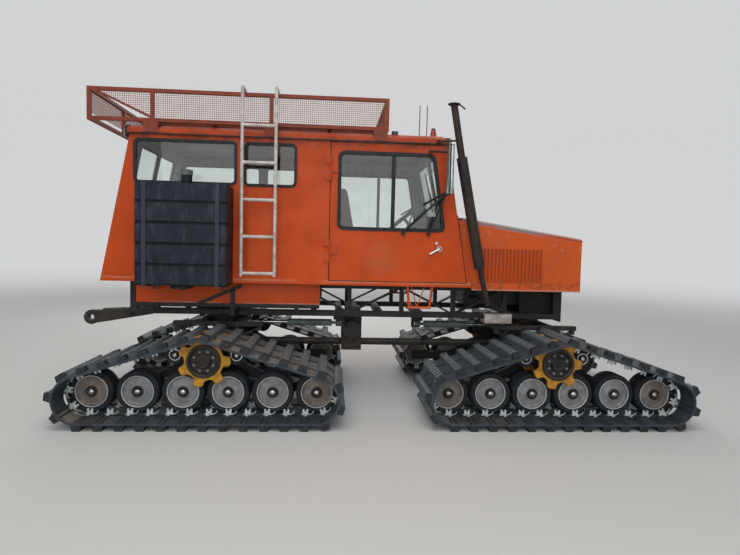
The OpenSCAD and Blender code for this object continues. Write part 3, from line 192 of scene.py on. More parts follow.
# the rack's dark red brown is orange paint darkened as painted shade
rack_paint = worn("rack orange darkened as painted shade", "#8F3A20", "#643528", 70, (0.5, 0.8), grain=2.0, rounded=3,
                  dust_and_light=("#8A7468", 0.3))
ladder_tube = worn("dull painted tube", "#D2CAC5", "#A0958F", 60, (0.4, 0.65), 0.2, 1.2, 0.05, 2)
cylinder_paint = worn("grey green cylinder paint", "#6B776E", "#4E544F", 60, (0.4, 0.7), rounded=3)
chrome_rod = worn("hard chromed steel", "#C9CCCE", "#9FA2A4", 60, (0.12, 0.3), 1.0, 1.0, 0.01)
amber_cast = worn("amber polyurethane", "#DDA02A", "#A8742A", 45, (0.4, 0.65), grain=3.0, depth=0.2, rounded=6)
# the belts' pale coat on the faces that look up and to the right is dust and a painted lit side
belt_rubber = worn("fabric reinforced belt rubber", "#2F353B", "#474D52", 120, (0.55, 0.85), grain=2.0, depth=0.25,
                   dust_and_light=("#8F877C", 0.75), dust_and_light_facing=(0.5, 0, 0.866))
tyre_rubber = worn("solid tyre rubber", "#1B1F24", "#2E3338", 50, (0.6, 0.85), grain=2.0, depth=0.2)
wheel_paint = worn("weathered wheel enamel", "#A8A8A8", "#858381", 50, (0.5, 0.75), grain=2.0, rounded=2)
end_wheel = worn("dusty wheel enamel", "#9F9993", "#7B726B", 40, (0.6, 0.85), grain=2.0, depth=0.2)
bright_ring = worn("bare rim edge", "#EDEFEF", "#C9CAC8", 30, (0.3, 0.5), 0.15, 1.5, 0.05)
# the cleats' pale coat on their tops is dust and a painted highlight
cleat_steel = worn("cleat steel with dust and painted highlight", "#6E7376", "#4E5254", 60, (0.5, 0.8), 0.3, 2.5, 0.35, 2, ("#8E9294", 0.7))
cleat_end = worn("dark cleat ends and painted shade strips", "#272B2F", "#3B3F43", 40, (0.45, 0.7), 0.4, 2.0, 0.2, 2)
zinc_lug = worn("zinc plated guide lug", "#EEF1F2", "#BFC4C6", 30, (0.35, 0.55), 0.1, 1.5, 0.08, 1.5)
stack_steel = worn("heat stained stack steel", "#262426", "#40352F", 70, (0.55, 0.85), 0.4, 3.0, 0.5, 2)
engine_paint = worn("oily engine paint", "#3A3D3F", "#26241F", 80, (0.35, 0.7), 0.2, 3.0, 0.4, 5)
dash_vinyl = worn("grained dashboard vinyl", "#232628", "#303234", 50, (0.5, 0.7), grain=2.0, depth=0.2, rounded=8)
mesh_paint = worn("sprayed wire mesh", "#A9573D", "#7C4636", 60, (0.5, 0.8), grain=2.0)
seat_cloth = worn("woven seat cloth", "#8C7E72", "#6A5F57", 70, (0.8, 0.95), grain=1.4, depth=0.5)
bolt_steel = worn("bare bolt steel", "#8C8E8F", "#66625E", 20, (0.35, 0.6), 0.5, 1.2, 0.05, 1)
lamp_case = worn("grey green lamp case", "#4B5049", "#373B37", 40, (0.45, 0.7), grain=1.5, rounded=2)
print(len(bpy.data.materials), "materials so far")

# %% [markdown]
# Enamel on sheet steel
# The cab and hood are sheet steel, sprayed with orange enamel. In years outdoors it goes dull, chips at corners and
# shows grey primer where hands and doors rub it, and its colour is made darker towards the roof. The Bevel node finds
# the corners, and soft noise breaks up the chips. The wear could be painted by hand on an unwrapped mesh, but masks
# that know real places need no unwrapping.
# Marks belong to places, so the cab's own sizes come first: the heights of its sill and of the seam under its roof, where its end walls stand, and how far they lean.

# %% Enamel helpers
SILL, SKIRT = 1.1003, 2.3033
CAB_H = SKIRT - SILL
CAB_SIDE, CAB_REAR, CAB_FRONT = 0.760, -2.328, 0.755
REAR_LEAN, FRONT_LEAN = math.radians(11.2), math.radians(12.7)


def near(tree, place, centre, radius, soft):
    """1 within RADIUS mm of a point, fading out over SOFT mm"""
    away = add(tree, "VectorMath", {0: place, 1: centre}, operation="DISTANCE").outputs["Value"]
    return add(tree, "MapRange", {0: away, 1: (radius + soft) / 1000, 2: radius / 1000}).outputs[0]


def between(tree, value, low, high, soft=0.004):
    """1 where a number lies between two others, with soft edges"""
    over = add(tree, "MapRange", {0: value, 1: low - soft, 2: low + soft}).outputs[0]
    under = add(tree, "MapRange", {0: value, 1: high + soft, 2: high - soft}).outputs[0]
    return all_of(tree, over, under)


def along_line(tree, place, direction):
    """how far each point lies along a direction"""
    return add(tree, "VectorMath", {0: place, 1: direction}, operation="DOT_PRODUCT").outputs["Value"]


def enamel(name, bright, dull, marks):
    """sprayed sheet steel; MARKS gives a piece's own wear, in rows of a colour and its masks"""
    material, tree, shader, place = start(name)
    x, y, z = add(tree, "SeparateXYZ", {0: place}).outputs
    grime = patches(tree, place, 260, 0.35, 0.68)
    # the colour is made darker towards the roof
    higher = add(tree, "MapRange", {0: z, 1: SILL, 2: SKIRT + 0.1}).outputs[0]
    dulled = add(tree, "Math", {0: grime, 1: 0.22, 2: all_of(tree, higher, 0.42)}, operation="MULTIPLY_ADD").outputs[0]
    colour = laid(tree, bright, dull, dulled)
    runs = patches(tree, place, 90, 0.48, 0.68, stretch=(1, 1, 0.22))
    colour = laid(tree, colour, "#6B3A22", runs, 0.12)
    rounded = add(tree, "Bevel", {"Radius": 0.007}, samples=4).outputs[0]
    flat = add(tree, "NewGeometry").outputs["True Normal"]
    straight = add(tree, "VectorMath", {0: rounded, 1: flat}, operation="DOT_PRODUCT").outputs["Value"]
    corner = add(tree, "MapRange", {0: straight, 1: 0.985, 2: 0.93}).outputs[0]
    colour = laid(tree, colour, "#6F6A68", corner, patches(tree, place, 28, 0.5, 0.56))
    for tone, *masks in marks(tree, place, x, y, z):
        colour = laid(tree, colour, tone, *masks)
    speck = patches(tree, place, 12, 0.74, 0.76, detail=1.0)
    colour = laid(tree, colour, "#5B4A44", speck, 0.7)
    tree.links.new(colour, shader.inputs["Base Color"])
    roughened(tree, shader, grime, (0.38, 0.58))
    shader.inputs["Specular IOR Level"].default_value = 0.22
    dents = add(tree, "TexNoise", {"Vector": place, "Scale": 1000 / 240, "Detail": 1.0}).outputs[0]
    inputs = {"Height": dents, "Distance": 0.004, "Strength": 0.6, "Normal": rounded}
    tree.links.new(add(tree, "Bump", inputs).outputs[0], shader.inputs["Normal"])
    return material


print("the cab is", round(CAB_FRONT - CAB_REAR, 3), "m long at its sill")

# %% [markdown]
# The tank's enamel
# The tank is sprayed navy blue. It has grooves pressed round it, and two steel straps over it. In the imported model
# all of that is one solid, so the material finds the grooves and the straps by their places, and paints a near black
# shade into each groove.

# %% Tank enamel
TANK_FOOT, GROOVE_PITCH = SILL - 0.006, 0.161
STRAP_XS, STRAP_HALF = (-1.877, -1.327), 0.016


def grooved(name, clean, dirty, groove, strap):
    """enamel with painted shade, near black, in the tank's grooves, and paler where the two straps lie"""
    material, tree, shader, place = start(name)
    x, _, z = add(tree, "SeparateXYZ", {0: place}).outputs
    broad = patches(tree, place, 150, 0.36, 0.66)
    rubbed = patches(tree, place, 60, 0.5, 0.68, stretch=(1, 1, 0.3))
    colour = laid(tree, laid(tree, clean, dirty, broad), "#4A535C", rubbed, 0.35)
    over_foot = add(tree, "Math", {0: z, 1: TANK_FOOT}, operation="SUBTRACT").outputs[0]
    step = add(tree, "Math", {0: over_foot, 1: GROOVE_PITCH, 2: 0.0}, operation="WRAP").outputs[0]
    above = add(tree, "Math", {0: step, 1: 0.013}, operation="LESS_THAN").outputs[0]
    # painted shade: a near black band in and just above each groove
    inputs = {0: between(tree, step, 0.148, 0.170, 0.003), 1: above}
    colour = laid(tree, colour, groove, add(tree, "Math", inputs, operation="MAXIMUM").outputs[0], 0.8)
    for strap_x in STRAP_XS:
        on_strap = between(tree, x, MID + strap_x - STRAP_HALF, MID + strap_x + STRAP_HALF, 0.001)
        colour = laid(tree, colour, strap, on_strap, 0.75)
    tree.links.new(colour, shader.inputs["Base Color"])
    shader.inputs["Specular IOR Level"].default_value = 0.15
    roughened(tree, shader, broad, (0.35, 0.6))
    grit = add(tree, "TexNoise", {"Vector": place, "Scale": 300.0, "Detail": 2.0}).outputs[0]
    relief(tree, shader, grit, 0.05, 5)
    return material


tank_paint = grooved("navy tank enamel", "#171E27", "#262D35", "#07090C", "#3B444C")
print("tank enamel ready, with a groove every", round(GROOVE_PITCH * 1000), "mm")

# %% [markdown]
# Marks on the cab and the hood
# On each door a round rubbed patch shows where lettering once was and is now bare. The sill has a pale line, which is
# dust and also a painted highlight on its edge, and a dark patchy band lies along the drip seam. Inside, the same sheet
# is lined with pale board, and the ceiling is painted dark blue grey, which stands in for the reflection the windows
# show in front of it, so those faces get their own colour. A pale band along the roof's upper edge is a painted
# reflection of the sky.
# The hood's top edge is rubbed to primer along the fold, where people lean on it, and its grey band and pale line there
# are also a painted sheen of the sky on the rounded edge. The pale line along the hood's foot is dust and a painted
# highlight.

# %% Cab and hood enamel
LINING_SIDE, HALF_WALL, CEILING = 0.7312, 0.015, 2.342
BOARD = 0.090
HOOD_SLOPE = math.atan(0.1483)
HOOD_UP = (math.sin(HOOD_SLOPE), 0, math.cos(HOOD_SLOPE))
HOOD_EDGE = HOOD_UP[0] * (MID + 1.719) + HOOD_UP[2] * (SILL + 0.437)


def cab_marks(tree, place, x, y, z):
    """rows of a colour and its masks for the cab"""
    side = add(tree, "Math", {0: y}, operation="ABSOLUTE").outputs[0]
    folded = add(tree, "CombineXYZ", {0: x, 1: side, 2: z}).outputs[0]
    from_rear = along_line(tree, place, (1, 0, -math.tan(REAR_LEAN)))
    from_front = along_line(tree, place, (1, 0, math.tan(FRONT_LEAN)))
    inside = between(tree, z, SILL + 0.002, CEILING, 0.0005)
    for value, test, limit in (
            (side, "LESS_THAN", LINING_SIDE),
            (from_rear, "GREATER_THAN", MID + CAB_REAR - SILL * math.tan(REAR_LEAN) + HALF_WALL),
            (from_front, "LESS_THAN", MID + CAB_FRONT + SILL * math.tan(FRONT_LEAN) - HALF_WALL)):
        inside = all_of(tree, inside, add(tree, "Math", {0: value, 1: limit}, operation=test).outputs[0])
    from_gap = add(tree, "Math", {0: x, 1: BOARD / 2}, operation="PINGPONG").outputs[0]
    board_gap = add(tree, "Math", {0: from_gap, 1: 0.0035}, operation="LESS_THAN").outputs[0]
    return [
        ("#A8613F", near(tree, folded, (MID - 0.03, 0.77, SILL + 0.24), 90, 90),
         patches(tree, place, 70, 0.3, 0.62), 0.5),
        # pale line above the sill: dust and a painted highlight on its edge
        ("#C98468", between(tree, z, SILL + 0.022, SILL + 0.04),
         patches(tree, place, 60, 0.35, 0.5, stretch=(0.2, 1, 1)), 0.7),
        # a dark patchy band along the drip seam
        ("#40302A", between(tree, z, SKIRT - 0.05, SKIRT + 0.02, 0.03), patches(tree, place, 50, 0.35, 0.6), 0.6),
        ("#A9A294", inside, 0.97),
        ("#6F6A61", inside, board_gap, 0.8),
        # the ceiling's dark blue grey stands in for the reflection on the windows: painted reflection
        ("#46505A", inside, between(tree, z, CEILING - 0.0035, CEILING, 0.0005), 0.95),
        ("#C69E8A", between(tree, z, SILL - 0.19, SILL - 0.176, 0.003),
         patches(tree, place, 90, 0.35, 0.55, stretch=(0.3, 1, 1)), 0.7),
        # pale band along the roof's upper edge: painted reflection of the sky
        ("#8F8486", between(tree, z, 2.3725, 2.40, 0.002),
         patches(tree, place, 120, 0.3, 0.55, stretch=(0.3, 1, 1)), 0.8)]


def hood_marks(tree, place, x, y, z):
    """rows of a colour and its masks for the hood"""
    height = along_line(tree, place, HOOD_UP)
    aside = add(tree, "Math", {0: y}, operation="ABSOLUTE").outputs[0]
    near_side = add(tree, "MapRange", {0: aside, 1: 0.60, 2: 0.73}).outputs[0]
    on_fold = add(tree, "Math", {0: aside, 1: 0.728}, operation="GREATER_THAN").outputs[0]
    on_side = add(tree, "Math", {0: aside, 1: 0.742}, operation="GREATER_THAN").outputs[0]
    streaks = patches(tree, place, 45, 0.4, 0.55, stretch=(0.4, 1, 1))
    broken = add(tree, "Math", {0: streaks, 1: 0.35}, operation="ADD", use_clamp=True).outputs[0]
    return [
        # grey band near the hood's top edge: primer wear and a painted sheen of the sky
        ("#8B9096", between(tree, height, HOOD_EDGE - 0.034, HOOD_EDGE + 0.03, 0.008), broken, near_side,
         between(tree, x, MID + 0.64, MID + 1.38, 0.12), 0.85),
        # pale line along the fold: primer wear and a painted sheen
        ("#B4ABA6", between(tree, height, HOOD_EDGE - 0.011, HOOD_EDGE + 0.03, 0.003),
         between(tree, x, MID + 0.66, MID + 1.74, 0.02), on_fold, 0.75),
        ("#C9A99C", between(tree, height, HOOD_EDGE - 0.13, HOOD_EDGE - 0.06, 0.03),
         patches(tree, place, 34, 0.62, 0.68), on_side, 0.4),
        ("#54403A", between(tree, z, SILL - 0.03, SILL + 0.05, 0.02), patches(tree, place, 40, 0.5, 0.6), 0.5),
        # pale line along the hood's foot: dust and a painted highlight
        ("#C99A84", between(tree, z, SILL - 0.024, SILL - 0.012, 0.004), 0.6)]


cab_enamel = enamel("orange cab enamel", "#CC4C0D", "#902F12", cab_marks)
hood_enamel = enamel("orange hood enamel", "#D2581F", "#A8502F", hood_marks)
print("enamels:", cab_enamel.name, hood_enamel.name)

# %% [markdown]
# Glass, lamps and the red lens
# Window glass is clear and only a little green at its edges. It transmits light, keeps a normal index of 1.5, and a film of dust makes it slightly rough in patches. A pane could be one thin sheet with a see-through shader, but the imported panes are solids, and solids bend light as real glass does. A headlamp's lens is closed by a silvered bowl behind it, so it is made as a bright worn metal.

# %% Glass and lenses
def clear(name, tint, rough, dirt):
    """a clear solid with a film of dirt"""
    material, tree, shader, place = start(name)
    film = patches(tree, place, 120, 0.45, 0.75)
    shader.inputs["Transmission Weight"].default_value = 1.0
    shader.inputs["IOR"].default_value = 1.5
    tree.links.new(laid(tree, tint, "#B9B4AA", film, dirt), shader.inputs["Base Color"])
    roughened(tree, shader, film, rough)
    return material


window_glass = clear("float glass", "#F1F6F4", (0.0, 0.03), 0.1)
lamp_glass = worn("silvered lamp glass", "#D5D9D8", "#AEB4B3", 60, (0.12, 0.3), 0.55, 1.0, 0.02)
red_lens = clear("red beacon lens", "#B01A18", (0.1, 0.25), 0.1)
print("clear materials ready")

# %% [markdown]
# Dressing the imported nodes
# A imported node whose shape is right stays. Only the material in its slots changes, so its faces and its place are never touched. Each node is named once, under the finish that it gets, and the last line says if one was forgotten.

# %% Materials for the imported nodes
NODE_FINISH = {
    frame_paint: ["frame_trusses", "crossmembers", "axle_front", "axle_rear",
                  "pontoon_frames_front", "pontoon_frames_rear"],
    cast_steel: ["driveline", "hitch", "carrier_front", "carrier_rear"],
    cab_enamel: ["side_lockers", "cab_sides", "cab_rear_wall", "cab_front_wall", "cab_roof", "door_right", "door_left"],
    hood_enamel: ["hood_sides", "nose_panel", "hood_lid"],
    window_glass: ["cab_glass", "door_glass_right", "door_glass_left"],
    engine_paint: ["engine_block"], tank_paint: ["fuel_tank"], ladder_tube: ["ladder"], rack_paint: ["roof_rack"],
    stack_steel: ["exhaust_stack"], red_lens: ["beacon"],
    black_plastic: ["antennas", "steering_wheel", "cab_floor", "mirror_right", "mirror_left"],
    lamp_glass: ["lamps"], dash_vinyl: ["dashboard"], seat_cloth: ["seats"],
    amber_cast: ["sprockets_front", "sprockets_rear"],
    cylinder_paint: ["barrel_front", "barrel_rear"], chrome_rod: ["rod_front", "rod_rear"],
    wheel_paint: ["wheels_front", "wheels_rear"], tyre_rubber: ["tyres_front", "tyres_rear"],
    belt_rubber: ["track_front_right", "track_front_left", "track_rear_right", "track_rear_left"],
}
for finish, names in NODE_FINISH.items():
    for name in names:
        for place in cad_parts[name].material_slots:
            place.material = finish
missing = set(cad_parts) - {name for names in NODE_FINISH.values() for name in names}
print("nodes without a finish:", sorted(missing))

# %% [markdown]
# Shapes that come back
# Most rigid pieces are boxes with broken edges, rods and turned shapes. These helpers add such a shape to a bmesh, so that one piece can hold many of them, and the last one turns the bmesh into an object that rides on a body. Blender's own operators make every shape, so there are no lists of faces to get wrong.

# %% Modelling helpers
def box_in(bm, low, high, bevel=0.0):
    """a box between two corners, with its edges broken where bevel is over 0"""
    verts = bmesh.ops.create_cube(bm, size=1.0)["verts"]
    low, high = Vector(low), Vector(high)
    bmesh.ops.scale(bm, vec=high - low, verts=verts)
    bmesh.ops.translate(bm, vec=(low + high) / 2, verts=verts)
    if bevel:
        edges = list({edge for vert in verts for edge in vert.link_edges})
        bmesh.ops.bevel(bm, geom=edges, offset=bevel, affect="EDGES", segments=2, profile=0.5, material=-1)
    return verts


def rod_in(bm, start_point, end_point, radius, sides=12, end_radius=None):
    """a rod, or a cone, from one point to another"""
    first, last = Vector(start_point), Vector(end_point)
    way = last - first
    place = Matrix.Translation((first + last) / 2) @ way.to_track_quat("Z", "Y").to_matrix().to_4x4()
    return bmesh.ops.create_cone(bm, cap_ends=True, segments=sides, radius1=radius, depth=way.length, matrix=place,
                                 radius2=radius if end_radius is None else end_radius)["verts"]


def turned_in(bm, profile, centre, sides, closed=False):
    """spins a profile of (radius, y) points about the Y line through (x, z)"""
    x, z = centre
    verts = [bm.verts.new((x + radius, y, z)) for radius, y in profile]
    pairs = list(zip(verts, verts[1:])) + ([(verts[-1], verts[0])] if closed else [])
    edges = [bm.edges.new(pair) for pair in pairs]
    bmesh.ops.spin(bm, geom=verts + edges, cent=(x, 0, z), axis=(0, 1, 0), angle=math.tau, steps=sides, use_merge=True)


def piece(name, bm, material, body, crease=35, merge=True):
    """turns a bmesh into an object with its faces outwards, and lets it ride on a body"""
    if merge:
        bmesh.ops.remove_doubles(bm, verts=bm.verts, dist=1e-5)
    bmesh.ops.recalc_face_normals(bm, faces=bm.faces)
    mesh = bpy.data.meshes.new(name)
    bm.to_mesh(mesh)
    bm.free()
    thing = bpy.data.objects.new(name, mesh)
    bpy.context.scene.collection.objects.link(thing)
    mesh.materials.append(material)
    mesh.shade_smooth()
    mesh.set_sharp_from_angle(angle=math.radians(crease))
    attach(thing, body)
    print(name, "has", len(mesh.polygons), "faces")
    return thing


AXLES = {"front": MID + HALF_BASE, "rear": MID - HALF_BASE}
SIDES = {"right": -1, "left": 1}


def moved(bm, offset):
    """shifts everything in a bmesh"""
    bmesh.ops.translate(bm, vec=offset, verts=bm.verts)
    return bm


print("modelling helpers ready")

# %% [markdown]
# The belt's path
# A track runs over a sprocket above and round an end wheel at each end. Its path is three arcs joined by straight lines that touch them. The path is written once, as a function of the length along the belt, because belts, cleats and lugs all follow it. A drawn curve would look alike, but arcs and tangents give the exact length, and the cleats' pitch needs that.

# %% Path of the belt
END_X, WHEEL_Z, SPROCKET_Z = 0.889, 0.2313, 0.4973
SEAT_R, END_R, BELT = 0.181, 0.1703, 0.016
MID_R, MID_END = SEAT_R + BELT / 2, END_R + BELT / 2
rise = SPROCKET_Z - WHEEL_Z
slope_len = math.sqrt(END_X ** 2 + rise ** 2 - (MID_R - MID_END) ** 2)
SLOPE = math.acos((MID_R - MID_END) / math.hypot(END_X, rise)) - math.atan2(rise, END_X)
TEETH = 7
# the length is counted from a valley between two of the sprocket's teeth
FIRST = math.tau * 1.5 / TEETH
steps = [("arc", (0, SPROCKET_Z), MID_R, FIRST, SLOPE),
         ("line", slope_len),
         ("arc", (END_X, WHEEL_Z), MID_END, SLOPE, -math.pi / 2),
         ("line", 2 * END_X),
         ("arc", (-END_X, WHEEL_Z), MID_END, -math.pi / 2, -math.pi - SLOPE),
         ("line", slope_len),
         ("arc", (0, SPROCKET_Z), MID_R, math.pi - SLOPE, FIRST)]


def belt_place(length):
    """where the belt is after LENGTH: x, z and the angle of its outward normal"""
    at = None
    for step in steps:
        if step[0] == "line":
            if length <= step[1]:
                return at[0] + length * math.sin(at[2]), at[1] - length * math.cos(at[2]), at[2]
            length -= step[1]
            continue
        _, (cx, cz), radius, begin, end = step
        span = (begin - end) * radius
        angle = begin - min(length, span) / radius
        at = (cx + radius * math.cos(angle), cz + radius * math.sin(angle), angle)
        if length <= span:
            return at
        length -= span
    return at


belt_len = sum(step[1] if step[0] == "line" else (step[3] - step[4]) * step[2] for step in steps)
CLEATS = 31
pitch = belt_len / CLEATS
print("belt is", round(belt_len, 3), "m long, a cleat every", round(pitch * 1000, 1), "mm")

# %% [markdown]
# Belts
# Each track has three rubber belts side by side, with slots between them for the sprocket's teeth. A belt is a ribbon: the path as a loop of edges, drawn out sideways, and given its thickness last. Thickness comes last because it then stays even round the small end wheels.

# %% Track belts
BELT_ROWS = [(0.510, 0.695), (0.755, 0.975), (1.035, 1.220)]


def belt_stations():
    """lengths along the belt, close together on the arcs and far apart on the straights"""
    found, done = [], 0.0
    for step in steps:
        span = step[1] if step[0] == "line" else (step[3] - step[4]) * step[2]
        parts = 1 if step[0] == "line" else max(2, round(span / 0.035))
        found += [done + span * i / parts for i in range(parts)]
        done += span
    return found


def ribbon_in(bm, y0, y1, inner, thick):
    """a ribbon that follows the path, from INNER under the belt's middle outwards by THICK"""
    verts = []
    for length in belt_stations():
        x, z, angle = belt_place(length)
        verts.append(bm.verts.new((x + inner * math.cos(angle), y0, z + inner * math.sin(angle))))
    edges = [bm.edges.new((a, b)) for a, b in zip(verts, verts[1:] + verts[:1])]
    made = bmesh.ops.extrude_edge_only(bm, edges=edges)["geom"]
    bmesh.ops.translate(bm, vec=(0, y1 - y0, 0), verts=[v for v in made if isinstance(v, bmesh.types.BMVert)])
    faces = list({face for vert in verts for face in vert.link_faces})
    bmesh.ops.recalc_face_normals(bm, faces=faces)
    bmesh.ops.solidify(bm, geom=faces, thickness=-thick)


def mirrored(bm, side):
    """turns the left hand shape into the right hand one where side is -1"""
    if side < 0:
        bmesh.ops.scale(bm, vec=(1, -1, 1), verts=bm.verts)
    return bm


for axle, x in AXLES.items():
    for hand, side in SIDES.items():
        bm = bmesh.new()
        for y0, y1 in BELT_ROWS:
            ribbon_in(bm, y0, y1, -BELT / 2, BELT)
        bm = moved(mirrored(bm, side), (x, 0, 0))
        belts = piece(f"belts_{axle}_{hand}", bm, belt_rubber, axle + "_axle", crease=50)
        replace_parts(belts, f"track_{axle}_{hand}")

# %% [markdown]
# Cleats
# A cleat is the cross bar that bites into the snow. The real ones are thin walled: a spine across the track with short ribs on both sides, and a solid block at each end. One cleat is modelled once and set down 31 times along the path. An array that follows a curve would be shorter to set up, but it bends what it copies, and a cleat is stiff.

# %% Cleats
def wedge_in(bm, low, high, top):
    """a box whose upper face is narrowed along X to TOP of its width"""
    verts = box_in(bm, low, high)
    middle = (low[0] + high[0]) / 2
    for vert in verts:
        if vert.co.z > (low[2] + high[2]) / 2:
            vert.co.x = middle + (vert.co.x - middle) * top
    return verts


def one_cleat():
    """a cleat with its length along Y and its top towards Z, from the belt's middle"""
    bm = bmesh.new()
    box_in(bm, (-0.040, 0.510, 0.006), (0.040, 1.220, 0.013))
    wedge_in(bm, (-0.037, 0.530, 0.012), (0.037, 1.200, 0.040), 0.82)
    for i in range(9):
        y = 0.566 + i * 0.0665
        wedge_in(bm, (-0.032, y, 0.036), (0.032, y + 0.034, 0.0528), 0.86)
    return bm


def cleat_blocks():
    """the dark block at each end of a cleat, and dark strips behind the belts that are painted shade lines"""
    bm = bmesh.new()
    for y in (0.510, 1.168):
        wedge_in(bm, (-0.0385, y, 0.010), (0.0385, y + 0.052, 0.053), 0.74)
    # two dark strips across each edge belt: painted shade lines at a backing plate's edges
    for y0, y1 in ((0.516, 0.690), (1.040, 1.214)):
        for x in (-0.026, 0.013):
            box_in(bm, (x, y0, -0.0112), (x + 0.013, y1, -0.0078))
    return bm


def follow_belt(single):
    """copies a shape to every cleat's place on the belt"""
    pattern = bpy.data.meshes.new("pattern")
    single.to_mesh(pattern)
    single.free()
    bm = bmesh.new()
    for i in range(CLEATS):
        x, z, angle = belt_place(i * pitch)
        before = len(bm.verts)
        bm.from_mesh(pattern)
        bm.verts.ensure_lookup_table()
        sine, cosine = math.sin(angle), math.cos(angle)
        across = Matrix(((sine, 0, cosine), (0, 1, 0), (-cosine, 0, sine))).to_4x4()
        bmesh.ops.transform(bm, matrix=Matrix.Translation((x, 0, z)) @ across, verts=bm.verts[before:])
    bpy.data.meshes.remove(pattern)
    return bm


for axle, x in AXLES.items():
    for hand, side in SIDES.items():
        for label, make, finish in (("cleats", one_cleat, cleat_steel), ("cleat_ends", cleat_blocks, cleat_end)):
            bm = moved(mirrored(follow_belt(make()), side), (x, 0, 0))
            piece(f"{label}_{axle}_{hand}", bm, finish, axle + "_axle", merge=False)

# %% [markdown]
# Guide lugs
# Beside the tyres, each cleat carries a zinc plated lug inside the belt that keeps the wheels in line. From the side it looks like a broad letter H on a small foot. It stands next to the tyre, clear of the sprocket's ring. It is a few boxes, because thirty one of them on each side of a track have to stay light.

# %% Guide lugs
def two_lugs():
    """a forked lug on each side of the tyre, pointing to the belt's inside, on a bright foot"""
    bm = bmesh.new()
    for y in (0.754, 0.9655):
        box_in(bm, (-0.034, y - 0.004, -0.0115), (0.034, y + 0.026, -0.0078))
        wedge_in(bm, (-0.013, y + 0.024, -0.0125), (0.013, y + 0.058, -0.0078), 0.6)
        for x in (-0.023, 0.008):
            box_in(bm, (x, y, -0.050), (x + 0.015, y + 0.0095, -0.010))
        box_in(bm, (-0.012, y + 0.002, -0.034), (0.012, y + 0.0075, -0.014))
    finger = [(-0.030, -0.012), (-0.046, -0.014), (-0.058, -0.022), (-0.066, -0.036)]
    for (x0, z0), (x1, z1) in zip(finger, finger[1:]):
        rod_in(bm, (x0, 0.980, z0), (x1, 0.980, z1), 0.0035, 6)
    return bm


for axle, x in AXLES.items():
    for hand, side in SIDES.items():
        bm = moved(mirrored(follow_belt(two_lugs()), side), (x, 0, 0))
        piece(f"guide_lugs_{axle}_{hand}", bm, zinc_lug, axle + "_axle", merge=False)

# %% [markdown]
# Road wheels
# Six wheels carry each track. A wheel is turned: a solid rubber tyre on a steel rim, a disc dished like a shallow cone, a dark hub ring and a domed bright cap. Each part is a profile spun about the axle line, which is how the real ones are pressed and turned.
# A profile's points give the radius, and how far out the point lies from the tyre's outer face.

# %% Tyres and wheels
WHEEL_XS = [i * 0.3556 - END_X for i in range(6)]
TYRE_OUT, INNER = 0.945, -0.160
GROOVE = INNER / 2
TYRE = [(0.128, INNER + 0.006), (0.158, INNER), (0.165, INNER + 0.004), (0.1694, INNER + 0.012),
        (0.1698, GROOVE - 0.016), (0.166, GROOVE - 0.011), (0.150, GROOVE - 0.008),
        (0.150, GROOVE + 0.008), (0.166, GROOVE + 0.011), (0.1698, GROOVE + 0.016),
        (0.1694, -0.012), (0.165, -0.004), (0.158, 0), (0.148, -0.002), (0.128, -0.006)]
RIM = [(0.120, INNER), (0.1275, INNER), (0.1275, 0), (0.1245, 0.002), (0.1215, 0)]
DISC = [(0.120, INNER), (0.1215, 0), (0.118, -0.006), (0.114, -0.030), (0.106, -0.036),
        (0.060, -0.016), (0.054, -0.010), (0.048, -0.010), (0.030, -0.012), (0.030, INNER)]
HUB = [(0.046, -0.018), (0.046, -0.002), (0.043, 0.002), (0.032, 0.002), (0.030, -0.004), (0.030, -0.018)]
CAP = [(0.028, -0.01), (0.028, 0.004), (0.026, 0.011), (0.019, 0.017), (0.009, 0.020), (0.0, 0.0205)]


def turned_at(profile, places, sides, closed):
    """the same turned shape at several (x, z) places, on both sides of the vehicle"""
    bm = bmesh.new()
    for side in SIDES.values():
        points = [(radius, side * (TYRE_OUT + out)) for radius, out in profile]
        for place in places:
            turned_in(bm, points, place, sides, closed)
    return bm


WHEEL_PARTS = [
    ("tyres_turned", TYRE, range(6), tyre_rubber, "tyre", "tyres"),
    ("wheel_discs", DISC, range(1, 5), wheel_paint, "wheel_grey", "wheels"),
    ("end_wheel_discs", DISC, (0, 5), end_wheel, "wheel_grey", None),
    ("rims", RIM, range(6), bright_ring, "bright_steel", None),
    ("hub_rings", HUB, range(6), cast_steel, "dark_steel", None),
    ("hub_caps", CAP, range(6), chrome_rod, "bright_steel", None)]
for axle, x in AXLES.items():
    for label, profile, only, finish, slot, stands_for in WHEEL_PARTS:
        sides, closed = (24, False) if profile is CAP else (40, True)
        bm = turned_at(profile, [(WHEEL_XS[i], WHEEL_Z) for i in only], sides, closed)
        turned = piece(f"{label}_{axle}", moved(bm, (x, 0, 0)), finish, axle + "_axle")
        if stands_for:
            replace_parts(turned, f"{stands_for}_{axle}")

# %% [markdown]
# Rollers under the upper run
# Two rollers hold the upper run up beside the sprocket. Each has a rubber tread, a thin bright ring and a small cap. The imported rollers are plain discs, so these thin turned rings only dress their outer faces.

